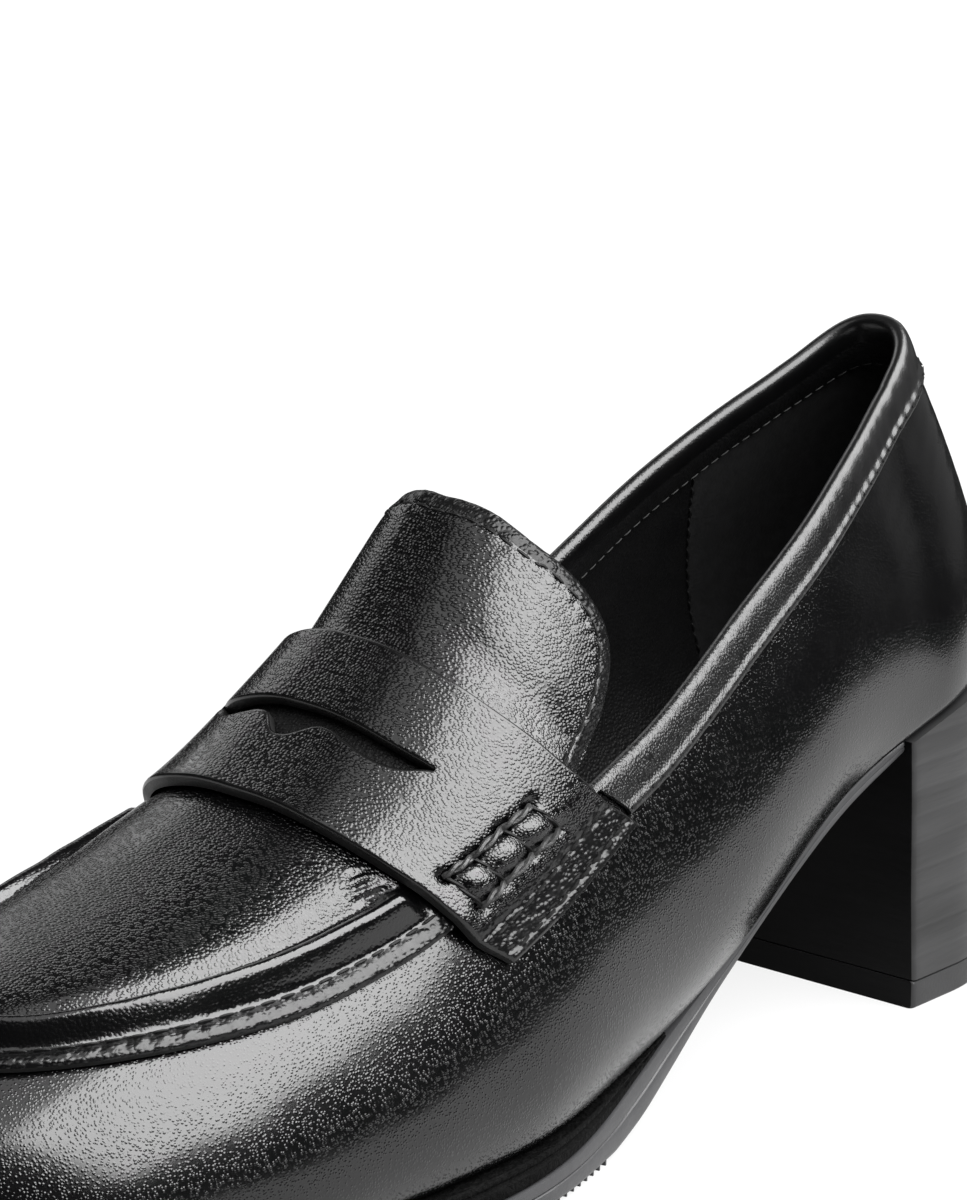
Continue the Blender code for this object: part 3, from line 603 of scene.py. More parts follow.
def grip_front(height):
    """Station of the heel grip's front edge, which leans forward as it rises."""
    return GRIP_LOW + GRIP_LEAN * (height - GRIP_LOW_HEIGHT)


walk, side = round_the_foot(44, 150, 72)
shares = np.linspace(0, 1, UPPER_ROWS) ** 1.12
climb = climb_at_length(walk, side, 0 * walk, collar_climb(walk, side), lambda whole: whole * shares)
base = last_point(walk[:, None], climb, side[:, None])
normal = last_normal(walk[:, None], climb, side[:, None])
run = np.cumsum(np.linalg.norm(np.diff(base, axis=1, prepend=base[:, :1]), axis=-1), axis=1)
tuck = -FEATHER_TUCK * (1 - np.clip(run / FEATHER_ROLL, 0, 1)) ** 2
relief = tuck + lasting_waves(base, LASTING_WAVE) * step(run, 2, 10) + quarter_wrinkles(base, WRINKLE)
upper = add_sheet("vamp_and_quarters", base + normal * relief[..., None], base - normal * WALL,
                  [vamp_leather, lining_leather, suede], ["upper"], inner_kind=1)
repaint(upper, 1, 2, lambda centre: centre[:, 0] < grip_front(centre[:, 2]))

# %% [markdown]
# ## Threads
#
# Seams follow paths on the leather, so a path needs its length, points at wanted lengths, and the
# distance from any point of a surface to it. Blender's curves know their length too, but numpy gives
# the distance for a whole surface at once.

# %% Paths
DISTANCE_CHUNK = 2000


def along(path, arc, wanted):
    """Points of a path at wanted lengths, by straight steps between its points."""
    return np.stack([np.interp(wanted, arc, path[:, k]) for k in range(3)], -1)


def arc_length(path):
    """Length along a path to each of its points."""
    return np.concatenate([[0.0], np.cumsum(np.linalg.norm(np.diff(path, axis=0), axis=1))])


def distance_to_path(points, path):
    """Distance from each point to the nearest point of a fine path, and the length along the path there."""
    flat = points.reshape(-1, 3)
    arc = arc_length(path)
    parts = []
    for start in range(0, len(flat), DISTANCE_CHUNK):
        squares = ((flat[start:start + DISTANCE_CHUNK, None] - path[None]) ** 2).sum(-1)
        nearest = squares.argmin(1)
        parts.append(np.stack([np.sqrt(squares.min(1)), arc[nearest]], -1))
    return np.moveaxis(np.concatenate(parts).reshape(*points.shape[:-1], 2), -1, 0)


def refine(path, pitch=0.25):
    """A path with points at an even pitch."""
    arc = arc_length(path)
    return along(path, arc, np.linspace(0, arc[-1], int(arc[-1] / pitch) + 1))


# %% [markdown]
# A row of lock stitches shows as short lengths of thread that rise out of one hole and dive into
# the next. Each stitch is a thin tube along the seam, bowed up in its middle and drawn to a point
# at both ends. One array holds all the stitches of a row, so no stitch is made by hand.

# %% Stitch rows
THREAD_SIDES = 6
STITCH_RINGS = 7
STITCH_PITCH = 3.4


def tubes(centre, normal, radius):
    """Tubes round many paths at once: a ring of points about each centre, in the plane across the path."""
    tangent = unit(np.gradient(centre, axis=1))
    sideways = unit(np.cross(tangent, normal))
    upright = np.cross(sideways, tangent)
    angle = np.linspace(0, 2 * np.pi, THREAD_SIDES, endpoint=False)
    ring = sideways[:, :, None] * np.cos(angle)[:, None] + upright[:, :, None] * np.sin(angle)[:, None]
    points = centre[:, :, None] + ring * radius[..., None, None]
    count, rings, sides, _ = points.shape
    number = np.arange(count * rings * sides).reshape(count, rings, sides)
    turned = np.roll(number, -1, axis=2)
    quads = np.stack([number[:, :-1], turned[:, :-1], turned[:, 1:], number[:, 1:]], -1).reshape(-1, 4)
    ends = np.concatenate([number[:, 0, ::-1], number[:, -1]])
    return points.reshape(-1, 3), quads, ends


def add_threads(name, centre, normal, radius, finish=None):
    """All the tubes of a seam as one piece of thread."""
    points, quads, ends = tubes(centre, normal, radius)
    return add_piece(name, points, [quads, ends], [finish or black_thread])


def stitch_paths(path, normal, pitch=STITCH_PITCH, share=0.84, radius=0.36, bow=0.3):
    """Centres, directions and radii of evenly spaced stitches: each a parabola that thins towards its ends."""
    arc = arc_length(path)
    count = max(int(round(arc[-1] / pitch)), 1)
    t = np.linspace(-0.5, 0.5, STITCH_RINGS)
    place = (np.arange(count)[:, None] + 0.5 + t * share) * arc[-1] / count
    up = unit(along(normal, arc, place))
    rise = bow * (1 - 2.4 * (2 * t) ** 2)
    thick = radius * np.sqrt(1 - 0.9 * (2 * t) ** 4)
    return along(path, arc, place) + up * rise[None, :, None], up, np.broadcast_to(thick, place.shape)


# %% [markdown]
# ## The apron
#
# A moccasin apron is a plug of leather over the toe. Its outer margin lies flat on the vamp with a
# cut edge, a stitch row holds it down, and further in the two leathers stand up as a rolled ridge,
# with a groove where the plug begins. One profile, measured inwards from the cut edge, is carried
# round the toe. The thread pulls small puckers into the margin, and the plug is gathered into a few
# creases where the strap crosses it.

# %% Tables of the apron and the strap's edges
GAP = 0.3
APRON_REAR = 148.0
APRON_PLY = 1.3
APRON_EDGE = table("station climb", (
    (148, 0.425), (165, 0.44), (180, 0.46), (205, 0.505), (230, 0.545), (248, 0.555),
))
APRON_PROFILE = table("inward height", (
    (0, 0.9), (0.3, 1.2), (1.2, 1.4), (2.3, 1.25), (3.0, 0.9), (3.5, 0.72), (4.0, 0.85), (4.6, 1.22), (5.6, 2.05),
    (6.6, 2.85), (7.2, 3.26), (7.8, 3.44), (8.4, 3.3), (8.9, 2.7), (9.3, 1.7), (9.65, 0.85), (10, 0.55), (10.5, 0.55),
    (11.4, 0.85), (13, 1.35), (15, 1.6),
))
PULLS = (
    ((162.5, 0.612), (164.8, 0.63), (167.3, 0.646), (169.5, 0.656), (172, 0.668)),
    ((162.5, 0.592), (165, 0.608), (167.5, 0.62), (171, 0.637)),
    ((163, 0.655), (166.2, 0.674), (169.5, 0.683)),
)
STRAP = table("climb rear front", (
    (0.30, 119, 150.5), (0.37, 125.5, 155.2), (0.46, 131.4, 158.8), (0.54, 134.8, 161.2), (0.63, 137.7, 163.8),
    (0.80, 140.5, 166.6), (1, 140.8, 167),
))


def seam_puckers(length, pitch=STITCH_PITCH):
    """Puckers of a seam: a wave that swells between stitches, with a slow change of strength."""
    swell = 0.75 + 0.25 * np.sin(length / 7.3 + 1.1 * np.sin(length / 11.7))
    return swell * np.cos(2 * np.pi * length / pitch)


def pulled_creases(points):
    """Short creases where the plug is gathered under the strap: a trough with a soft lip on both sides."""
    total = np.zeros(points.shape[:-1])
    for pull in PULLS:
        station, climb = np.array(pull).T
        path = refine(last_point(walk_at(station), climb, LATERAL))
        off, length = distance_to_path(points, path)
        fade = np.sin(np.pi * np.clip(length / length.max() * 0.85 + 0.15, 0, 1)) ** 0.7
        total += fade * (0.22 * hump(off, 1.1, 0.6) - 0.5 * hump(off, 0, 0.5))
    return total


print("creases under the strap", len(PULLS))

# %% [markdown]
# The grid's rows are close together over the margin and the ridge, and wider over the plug. The relief
# fades out under the strap, where the apron is a plain ply that nobody sees.

# %% Apron
APRON_STITCH = 3.4
APRON_STITCHES_FROM = 150.0
MARGIN_PUCKER, HOLE_PUCKER, RIDGE_WAVE, PLUG_WAVE = 0.14, 0.1, 0.05, 0.05
PUCKERED, SMOOTH_BAND = 3.2, 9.9
UNDER_STRAP = 156.0
PLUG_ROWS = 24
FAR_IN = 99.0

walk, side = round_the_foot(0, 300, 150, walk_at(APRON_REAR))
foot_x = feather_and_spine(walk, side)[0]
edge = smooth(foot_x, APRON_EDGE["station"], APRON_EDGE["climb"])
inward = np.concatenate([np.arange(0, 15, 0.3), np.arange(15, 21.01, 0.5)])
plug_shares = np.arange(1, PLUG_ROWS + 1) / PLUG_ROWS


def apron_rows(whole):
    """Lengths in from the cut edge: even fine steps over the margin and ridge, wider ones over the plug."""
    plug = inward[-1] + (whole - inward[-1]) * plug_shares
    return np.hstack([np.repeat(inward[None], len(whole), 0), plug])


climb = climb_at_length(walk, side, edge, 0 * walk + 1, apron_rows)
base = last_point(walk[:, None], climb, side[:, None])
normal = last_normal(walk[:, None], climb, side[:, None])
run = np.concatenate([inward, np.full(PLUG_ROWS, FAR_IN)])[None] + 0 * climb
row = np.argmin(np.abs(inward - APRON_STITCH))
seam = arc_length(base[:, row])[:, None]
height = smooth(run, APRON_PROFILE["inward"], APRON_PROFILE["height"])
margin_pucker = MARGIN_PUCKER * seam_puckers(seam) * hump(run, 1.9, 1.3)
height += margin_pucker - HOLE_PUCKER * hump(run, APRON_STITCH, 0.5) * seam_puckers(seam)
height += RIDGE_WAVE * np.sin(seam / 1.9 + np.sin(seam / 5.1)) * hump(run, 8.1, 1.2)
strap_front = smooth(climb, STRAP["climb"], STRAP["front"])
open_air = step(foot_x[:, None], strap_front + 0.2, strap_front + 3)
height += pulled_creases(base)
height = APRON_PLY + (height - APRON_PLY) * open_air + lasting_waves(base, PLUG_WAVE) * open_air
smooth_cells = np.where(run[:-1, :-1] < PUCKERED, 4, (run[:-1, :-1] < SMOOTH_BAND) * 3)
apron_outer = base + normal * (GAP + height)[..., None]
apron = add_sheet("apron_plug", apron_outer, base + normal * GAP,
                  [plug_leather, cut_edge, hidden_leather, ridge_leather, pucker_leather],
                  ["apron"], cell_kinds=smooth_cells, rim_kind=1)
repaint(apron, 0, 2, lambda centre: centre[:, 0] < UNDER_STRAP)
seen = foot_x > APRON_STITCHES_FROM
add_threads("apron_stitches", *stitch_paths(apron_outer[seen, row], normal[seen, row], radius=0.26, bow=0.12))

# %% [markdown]
# ## The tongue
#
# The tongue is a sheet with two round ears. A stitch row runs 3 mm inside its edge, and the margin
# outside it falls away to a thin edge, pulled in at every stitch. The relief is a function of the
# distance to the edge, found from the edge's own points, and of the length along it. The free top
# flares off the foot towards the inner side, and the leather dips a little behind the strap.

# %% Tongue
TONGUE_PLY = 1.5
TONGUE_FRONT = 147.0
TONGUE = table("climb rear", (
    (0.425, 126.5), (0.435, 122.3), (0.455, 117.6), (0.485, 114.2), (0.53, 113), (0.60, 114.5), (0.68, 117),
    (0.80, 119.8), (1, 121),
))
TONGUE_MARGIN = 2.9
MARGIN_FALL, EDGE_FALL, STITCH_GROOVE = 0.85, 0.3, 0.28
TONGUE_FLARE, FLARE_FROM, FLARE_LENGTH = 4.5, 139.0, 24.0
TONGUE_DIP, DIP_BEHIND, DIP_WIDTH = 0.8, 5.0, 3.2

knots = np.arange(len(TONGUE["climb"]), dtype=float)
t = np.linspace(0, knots[-1], 120)
half_climb = np.minimum(smooth(t, knots, TONGUE["climb"]), 1.0)
half_climb[-1] = 1.0
half_rear = smooth(t, knots, TONGUE["rear"])
climb = np.concatenate([half_climb, half_climb[::-1]])[:, None]
rear = np.concatenate([half_rear, half_rear[::-1]])[:, None]
side = np.repeat([LATERAL, MEDIAL], len(t))[:, None]
station = rear + (TONGUE_FRONT - rear) * np.linspace(0, 1, 84)
base = last_point(walk_at(station), climb, side)
normal = last_normal(walk_at(station), climb, side)
tongue_edge = refine(np.concatenate([base[0, ::-1], base[1:-1, 0], base[-1]]))
off_edge, edge_arc = distance_to_path(base, tongue_edge)
height = -MARGIN_FALL * (1 - np.clip(off_edge / (TONGUE_MARGIN + 0.4), 0, 1)) ** 1.2
edge_fall = EDGE_FALL * (1 - np.clip(off_edge / 0.6, 0, 1)) ** 2
height -= edge_fall + STITCH_GROOVE * hump(off_edge, TONGUE_MARGIN, 0.36)
height += seam_puckers(edge_arc) * (0.16 * hump(off_edge, 1.7, 0.9) - 0.12 * hump(off_edge, 4.0, 0.9))
height *= 1 - step(station, 128, 134)
behind_strap = smooth(climb, STRAP["climb"], STRAP["rear"]) - station
height -= TONGUE_DIP * hump(behind_strap, DIP_BEHIND, DIP_WIDTH) * step((1 - climb) * side, 0.02, 0.3)
flare = TONGUE_FLARE * np.clip((FLARE_FROM - station) / FLARE_LENGTH, 0, 1) * step((climb - 1) * side, -0.3, 0.3)
base = base + normal * flare[..., None]
tongue_outer = base + normal * (GAP + TONGUE_PLY + height)[..., None]
puckered = (off_edge[:-1, :-1] < TONGUE_MARGIN - 0.4) * 2
add_sheet("tongue_sheet", tongue_outer, base + normal * GAP, [tongue_leather, cut_edge, margin_leather],
          ["tongue"], cell_kinds=puckered, rim_kind=1)

# %% [markdown]
# The stitch row lies in the groove. Its path is the line of the surface at the margin's distance from
# the edge: for each column the row nearest to that distance is taken, and the ends under the strap
# are left out.

# %% Stitches of the tongue
SEARCHED_ROWS, ON_LINE = 60, 0.3

near = np.abs(off_edge[:, :SEARCHED_ROWS] - TONGUE_MARGIN).argmin(1)
each = np.arange(len(near))
kept = np.abs(off_edge[each, near] - TONGUE_MARGIN) < ON_LINE
line, line_normal = tongue_outer[each, near][kept], normal[each, near][kept]
add_threads("tongue_stitches", *stitch_paths(line, line_normal, radius=0.3, bow=0.12))

# %% [markdown]
# ## The saddle strap
#
# The strap crosses the instep over apron and tongue and is sewn down at both ends. A slot is cut
# through it, with a small notch in the middle of its front lip. At each end two stitch rows follow
# the edge, and above them a ladder of thick hand stitches puffs the leather into three cushions. The
# slot could be cut with a Boolean, but leaving cells out of the grid keeps its lips even and round.

# %% Shape of the strap
STRAP_PLY, STRAP_LOW, STRAP_HIGH = 2.2, 0.35, 2.15
CUSHION, PULL, KNOT = 1.25, 0.4, 0.8
SLOT = table("climb top bottom", (
    (0.69, 0.415, 0.415), (0.70, 0.415, 0.424), (0.72, 0.415, 0.448), (0.745, 0.415, 0.482), (0.775, 0.415, 0.506),
    (0.81, 0.413, 0.517), (0.86, 0.41, 0.512), (0.905, 0.408, 0.493), (0.94, 0.406, 0.478), (0.962, 0.404, 0.488),
    (0.98, 0.402, 0.535), (0.992, 0.401, 0.572), (1, 0.40, 0.585),
))
LADDER = table("across lower upper", (
    (0.29, 0.409, 0.484), (0.48, 0.422, 0.502), (0.69, 0.427, 0.511), (0.86, 0.428, 0.528),
))


def strap_station(climb, across):
    """Station at a share of the way across the strap, from its rear edge to its front one."""
    rear = smooth(climb, STRAP["climb"], STRAP["rear"])
    return rear + (smooth(climb, STRAP["climb"], STRAP["front"]) - rear) * across


def strap_lift(climb):
    """Height of the strap's underside over the last: a soft step from its sewn ends up to the tongue."""
    return STRAP_LOW + (STRAP_HIGH - STRAP_LOW) * step(climb, 0.34, 0.45)


def ladder_relief(climb, across):
    """Cushions as products of two half sines between rungs and rails, less troughs along the pulled threads."""
    low = np.interp(across, LADDER["across"], LADDER["lower"])
    high = np.interp(across, LADDER["across"], LADDER["upper"])
    rung = np.interp(across, LADDER["across"], np.arange(len(LADDER["across"])))
    rail = (climb - low) / (high - low)
    inside = (rail > 0) & (rail < 1) & (across > LADDER["across"][0]) & (across < LADDER["across"][-1])
    dome = np.abs(np.sin(np.pi * rung)) ** 0.7 * np.sin(np.pi * np.clip(rail, 0, 1)) ** 0.7
    cushion = np.where(inside, dome, 0)
    near_rungs = step(across, 0.21, 0.29) * (1 - step(across, 0.86, 0.94))
    lower_pull = hump(np.maximum(rail, 0), 0, 0.2) * np.exp(np.minimum(rail, 0) / 0.9)
    pulled = near_rungs * (lower_pull + hump(rail, 1, 0.2))
    knots = sum(hump(across, a, 0.035) * (hump(rail, 0, 0.16) + hump(rail, 1, 0.16)) for a in LADDER["across"])
    return CUSHION * cushion - PULL * pulled - KNOT * knots


def round_edge(distance, radius=0.7):
    """Drop of a rounded edge at a distance in from it: a quarter circle, cut off at four fifths of its depth."""
    inward = radius - np.clip(distance, 0, radius)
    return np.maximum(np.sqrt(np.maximum(radius ** 2 - inward ** 2, 0)) - radius, -0.8 * radius)


print("strap at the spine", (STRAP["front"] - STRAP["rear"])[-1].round(1), "mm wide")

# %% [markdown]
# The grid runs from one sewn end over the spine to the other. Its rows behind and in front of the slot
# crowd towards the edges, so that the rounded lips get enough of them, and the cells between the two
# groups are the hole. The lips and edges are waxed, and the sewn ends have the gathered finish.

# %% Strap
STRAP_ROWS_AT = (2.2, 7.0)
END_TROUGH, TROUGH_WIDTH, TROUGH_WAVE = 0.2, 0.5, 0.9
WAXED, PUCKERED_END = 0.6, 8.4
REAR_ROWS, FRONT_ROWS = 36, 40
NO_SLOT = 9.0

half_climb = np.linspace(STRAP["climb"][0], 1, 190)
climb = np.concatenate([half_climb, half_climb[::-1]])[:, None]
side = np.repeat([LATERAL, MEDIAL], len(half_climb))[:, None]
top, bottom = (smooth(climb, SLOT["climb"], SLOT[name]) for name in ("top", "bottom"))
bottom = np.where(climb > SLOT["climb"][0], np.maximum(bottom, top), top)
rear_share, front_share = ((1 - np.cos(np.linspace(0, np.pi, rows))) / 2 for rows in (REAR_ROWS, FRONT_ROWS))
across = np.hstack([rear_share * top, bottom + front_share * (1 - bottom)])
station = strap_station(climb, across)
climb = climb + 0 * station
base = last_point(walk_at(station), climb, side)
normal = last_normal(walk_at(station), climb, side)
middle = REAR_ROWS // 2
end_run = np.cumsum(np.linalg.norm(np.diff(base, axis=0, prepend=base[:1]), axis=-1), axis=0)
end_run = np.minimum(end_run, end_run[-1:] - end_run)
width_run = np.cumsum(np.linalg.norm(np.diff(base, axis=1, prepend=base[:, :1]), axis=-1), axis=1)
from_side = np.minimum(width_run, width_run[:, -1:] - width_run)
height = round_edge(np.minimum(from_side, end_run)) + ladder_relief(climb, across)
for down in STRAP_ROWS_AT:
    height -= END_TROUGH * hump(end_run, down, TROUGH_WIDTH) * (1 - TROUGH_WAVE * seam_puckers(width_run))
slot_run = np.where(across <= top, top - across, across - bottom) * width_run[:, -1:]
slot_run = np.where((climb >= SLOT["climb"][0]) & (bottom > top), slot_run, NO_SLOT)
height += round_edge(slot_run)
lift = strap_lift(climb)
strap_outer = base + normal * (lift + STRAP_PLY + height)[..., None]
cell = np.zeros((len(climb) - 1, REAR_ROWS + FRONT_ROWS - 1), bool)
cell[:, REAR_ROWS - 1] = True
on_edge = np.minimum(np.minimum(from_side, end_run), slot_run)[:-1, :-1] < WAXED
strap_kinds = np.where(on_edge, 2, (end_run[:-1, :-1] < PUCKERED_END) * 3)
add_sheet("saddle_strap_leather", strap_outer, base + normal * lift[..., None],
          [strap_leather, cut_edge, waxed_edge, pucker_leather], ["saddle_strap"], hole=cell,
          cell_kinds=strap_kinds, rim_kind=1)

# %% [markdown]
# The two rows of machine stitches run along each end, and the ladder is sewn by hand: thick grey thread
# goes along both rails, and thinner black thread over each rung. Each length is a pair of tubes twisted
# round each other, and dives into the leather at its two holes.

# %% Strap threads
HAND_RINGS = 25
HOLE_DEPTH = 0.7
RAIL_THREAD = dict(radius=0.4, spread=0.36, bow=0.4, twists=0.9)
RUNG_THREAD = dict(radius=0.28, spread=0.18, bow=0.1, twists=1.0)
END_INSET = 2.0


def strap_top(climb, across, side, extra):
    """A point on the strap's upper face, lifted by an extra height, and its direction."""
    where = walk_at(strap_station(climb, across))
    up = last_normal(where, climb, side)
    return last_point(where, climb, side) + up * (strap_lift(climb) + STRAP_PLY + extra)[..., None], up


def hand_stitches(start, end, side, radius, spread, bow, twists):
    """Doubled tubes between pairs of holes given as (climb, across): twisted, bowed, and sunk at both ends."""
    t = np.linspace(0, 1, HAND_RINGS)
    climb = start[:, :1] + (end - start)[:, :1] * t
    across = start[:, 1:] + (end - start)[:, 1:] * t
    arch = np.sin(np.pi * t) ** 0.5
    centre, up = strap_top(climb, across, side, (bow + HOLE_DEPTH) * arch + 0 * climb - HOLE_DEPTH)
    sideways = unit(np.cross(np.gradient(centre, axis=1), up))
    apart = (spread * (0.4 + 0.6 * arch))[:, None]
    turn = (2 * np.pi * twists * t)[:, None]
    apart = (sideways * np.cos(turn) + up * np.sin(turn)) * apart
    pair = np.concatenate([centre + apart, centre - apart])
    return pair, np.concatenate([up, up]), np.full(pair.shape[:2], radius)


lower, upper_rail = (np.stack([LADDER[name], LADDER["across"]], -1) for name in ("lower", "upper"))
rail_starts = np.concatenate([lower[:-1], upper_rail[:-1]])
rail_ends = np.concatenate([lower[1:], upper_rail[1:]])
for side_name, one in (("outer", LATERAL), ("inner", MEDIAL)):
    rails = hand_stitches(rail_starts, rail_ends, one, **RAIL_THREAD)
    add_threads(f"strap_ladder_{side_name}", *rails, ladder_thread)
    add_threads(f"strap_rungs_{side_name}", *hand_stitches(lower, upper_rail, one, **RUNG_THREAD))
    columns = np.arange(len(half_climb))
    columns = columns if one == LATERAL else 2 * len(half_climb) - 1 - columns
    rows = []
    for down in STRAP_ROWS_AT:
        at = columns[np.abs(end_run[columns, middle] - down).argmin()]
        inset = (from_side[at] > END_INSET) & (np.arange(strap_outer.shape[1]) != REAR_ROWS)
        rows.append(stitch_paths(strap_outer[at, inset], normal[at, inset], radius=0.28, bow=0.12))
    add_threads(f"strap_end_stitches_{side_name}", *(np.concatenate(parts) for parts in zip(*rows)))

# %% [markdown]
# ## The collar binding
#
# The top edge is bound with a folded strip. It makes a narrow round crest, then lies down the outside
# to a low stitched ridge, and down the inside to a plain edge. Its profile gives the distance below
# the rim and the distance out from the last, and is carried along the whole collar. A bevelled curve
# could carry one too, but it would turn about the path, and here it has to lie on the leather.

# %% Collar binding
BINDING = table("down out", (
    (7.2, 0.30), (7.15, 0.6), (6.85, 0.84), (6.3, 0.94), (5.8, 0.9), (5.35, 0.74), (4.9, 0.68), (4.3, 0.72),
    (3.4, 0.82), (2.4, 0.9), (1.3, 0.94), (0.3, 0.9), (-0.4, 0.74), (-0.9, 0.4), (-1.18, 0), (-1.28, -0.5),
    (-1.2, -1.0), (-0.98, -1.45), (-0.6, -1.8), (-0.1, -2.05), (0.6, -2.25), (1.6, -2.4), (3.0, -2.6), (7.8, -2.55),
    (8.1, -2.4), (8.0, -2.1), (4.0, -2.1), (1.2, -1.95), (-0.15, -1.85), (-0.3, -1.3), (-0.28, 0.1), (0.3, 0.28),
    (3.5, 0.29),
))
BINDING_END = 125.0
BINDING_STITCH = 6.3
INNER_STITCH = 5.5
LINED_BELOW = -2.5
BINDING_CLEAR = 0.02
RIDGE_PITCH, RIDGE_PUCKER, ROLL_CREASE = 3.0, 0.07, 0.035
STITCHED_TO = 119.0

one = np.concatenate([np.linspace(0, 1, 46), np.linspace(1, walk_at(BINDING_END), 210)[1:]])
walk = np.concatenate([one[::-1], one[1:]])
side = np.concatenate([np.full(len(one), LATERAL), np.full(len(one) - 1, MEDIAL)])
foot_x = feather_and_spine(walk, side)[0]
rim = collar_climb(walk, side)
down = np.maximum(BINDING["down"], 0.0)
climb = climb_at_length(walk, side, rim, 0 * walk, down)
strap_edge = np.interp(foot_x, STRAP["rear"], STRAP["climb"], left=0.0)[:, None]
climb = np.minimum(np.maximum(climb, strap_edge + BINDING_CLEAR), rim[:, None])
rim_length = arc_length(last_point(walk, rim, side))[:, None]
outside = BINDING["out"] > 0.5
pucker = outside * RIDGE_PUCKER * seam_puckers(rim_length, RIDGE_PITCH)
crease = outside * ROLL_CREASE * np.sin(rim_length / 0.62 + 1.7 * np.sin(rim_length / 3.1))
out = BINDING["out"] + pucker * hump(BINDING["down"], 5.7, 1.0)
out = out + crease * hump(BINDING["down"], 2, 2)
up = unit(last_point(walk, rim + NUDGE, side) - last_point(walk, rim - NUDGE, side))[:, None]
profile = skin(walk[:, None], climb, side[:, None], out) + up * np.maximum(-BINDING["down"], 0)[None, :, None]
inside_shoe = (BINDING["out"] < LINED_BELOW) & (BINDING["down"] > 0.5)
add_loft("collar_binding_roll", profile, [binding_leather, lining_leather], ["collar_binding"],
         caps=(True, True), ring_kinds=inside_shoe)
row = np.argmin(np.abs(BINDING["down"][:8] - BINDING_STITCH))
inner_row = np.argmin(np.abs(BINDING["down"] - INNER_STITCH) + 9 * (BINDING["out"] > LINED_BELOW))
seen = foot_x < STITCHED_TO
binding_normal = last_normal(walk, climb[:, row], side)
stitches = stitch_paths(profile[seen, row], binding_normal[seen], RIDGE_PITCH, radius=0.24, bow=-0.13)
add_threads("collar_stitches", *stitches)
inner_normal = -last_normal(walk, climb[:, inner_row], side)
stitches = stitch_paths(profile[:, inner_row], inner_normal, 2.4, radius=0.16, bow=0.06)
add_threads("collar_stitches_inside", *stitches, lining_thread)

# %% [markdown]
# ## Inside the shoe
#
# The sock covers the insole from heel to toe. It is a thin plate between the walls, a little crowned,
# and the lining has an upright seam on each side where the suede heel grip begins. Both are plain, but
# the eye looks into the shoe from above, so they need a shape and a finish too.

# %% Sock and lining seams
INSOLE_PLY, INSOLE_INSET, INSOLE_CLEAR = 2.5, 2.8, 0.15
CROWN, CROWN_EDGE, CROWN_ROWS = 0.5, -0.3, 16
SEAM_POINTS, SEAM_LOW, SEAM_HIGH = 60, 0.08, 0.40


def edge_point(walk, side, margin):
    """Plan of the feather edge moved outwards by a margin, square to the edge."""
    x, y, _, _ = feather_and_spine(walk, side)
    x0, y0, _, _ = feather_and_spine(np.maximum(walk - NUDGE, 0.0), side)
    x1, y1, _, _ = feather_and_spine(np.minimum(walk + NUDGE, 3.0), side)
    outward = unit(side[:, None] * np.stack([-(y1 - y0), x1 - x0], -1))
    outward = np.where((walk < NUDGE)[:, None], (-1.0, 0.0), outward)
    outward = np.where((walk > 3 - NUDGE)[:, None], (1.0, 0.0), outward)
    return np.stack([x, y + swing(x)], -1) + outward * np.broadcast_to(margin, x.shape)[:, None]


def lifted(plan, height):
    """Plan points at a height."""
    return np.concatenate([plan, np.broadcast_to(height, plan.shape[:-1])[..., None]], -1)


one = np.concatenate([np.linspace(0, 1, 26), np.linspace(1, 2, 80)[1:], np.linspace(2, 3, 46)[1:]])
outer_edge, inner_edge = (edge_point(one, np.full(len(one), s), -INSOLE_INSET) for s in (LATERAL, MEDIAL))
share = np.linspace(0, 1, CROWN_ROWS)
plan = outer_edge[:, None] + (inner_edge - outer_edge)[:, None] * share[None, :, None]
crown = CROWN * np.sin(np.pi * share) ** 0.5 + CROWN_EDGE
sock_top = lifted(plan, feather_height(plan[..., 0]) + INSOLE_PLY + crown)
sock_under = lifted(plan, feather_height(plan[..., 0]) + INSOLE_CLEAR)
add_sheet("sock", sock_top, sock_under, [sock_leather], ["insole"])
for side_name, one_side in (("outer", LATERAL), ("inner", MEDIAL)):
    sides = np.full(SEAM_POINTS, one_side)
    rise = np.linspace(SEAM_LOW, SEAM_HIGH, SEAM_POINTS)
    where = walk_at(grip_front(last_point(np.full(SEAM_POINTS, walk_at(GRIP_LOW)), rise, sides)[:, 2]))
    inner_normal = -last_normal(where, rise, sides)
    path = last_point(where, rise, sides) + inner_normal * (WALL + 0.08)
    stitches = stitch_paths(path, inner_normal, 2.2, radius=0.2, bow=0.12)
    add_threads(f"lining_seam_{side_name}", *stitches, lining_thread)

# %% [markdown]
# ## Sole
#
# The midsole's edge is the welt: black, with a groove under the upper and a rough fibre edge. Below it
# lies the grey rubber outsole, with a fine line along its side. Each is an edge profile carried round
# the feather edge, because a plain extrusion would have the same square edge all the way.

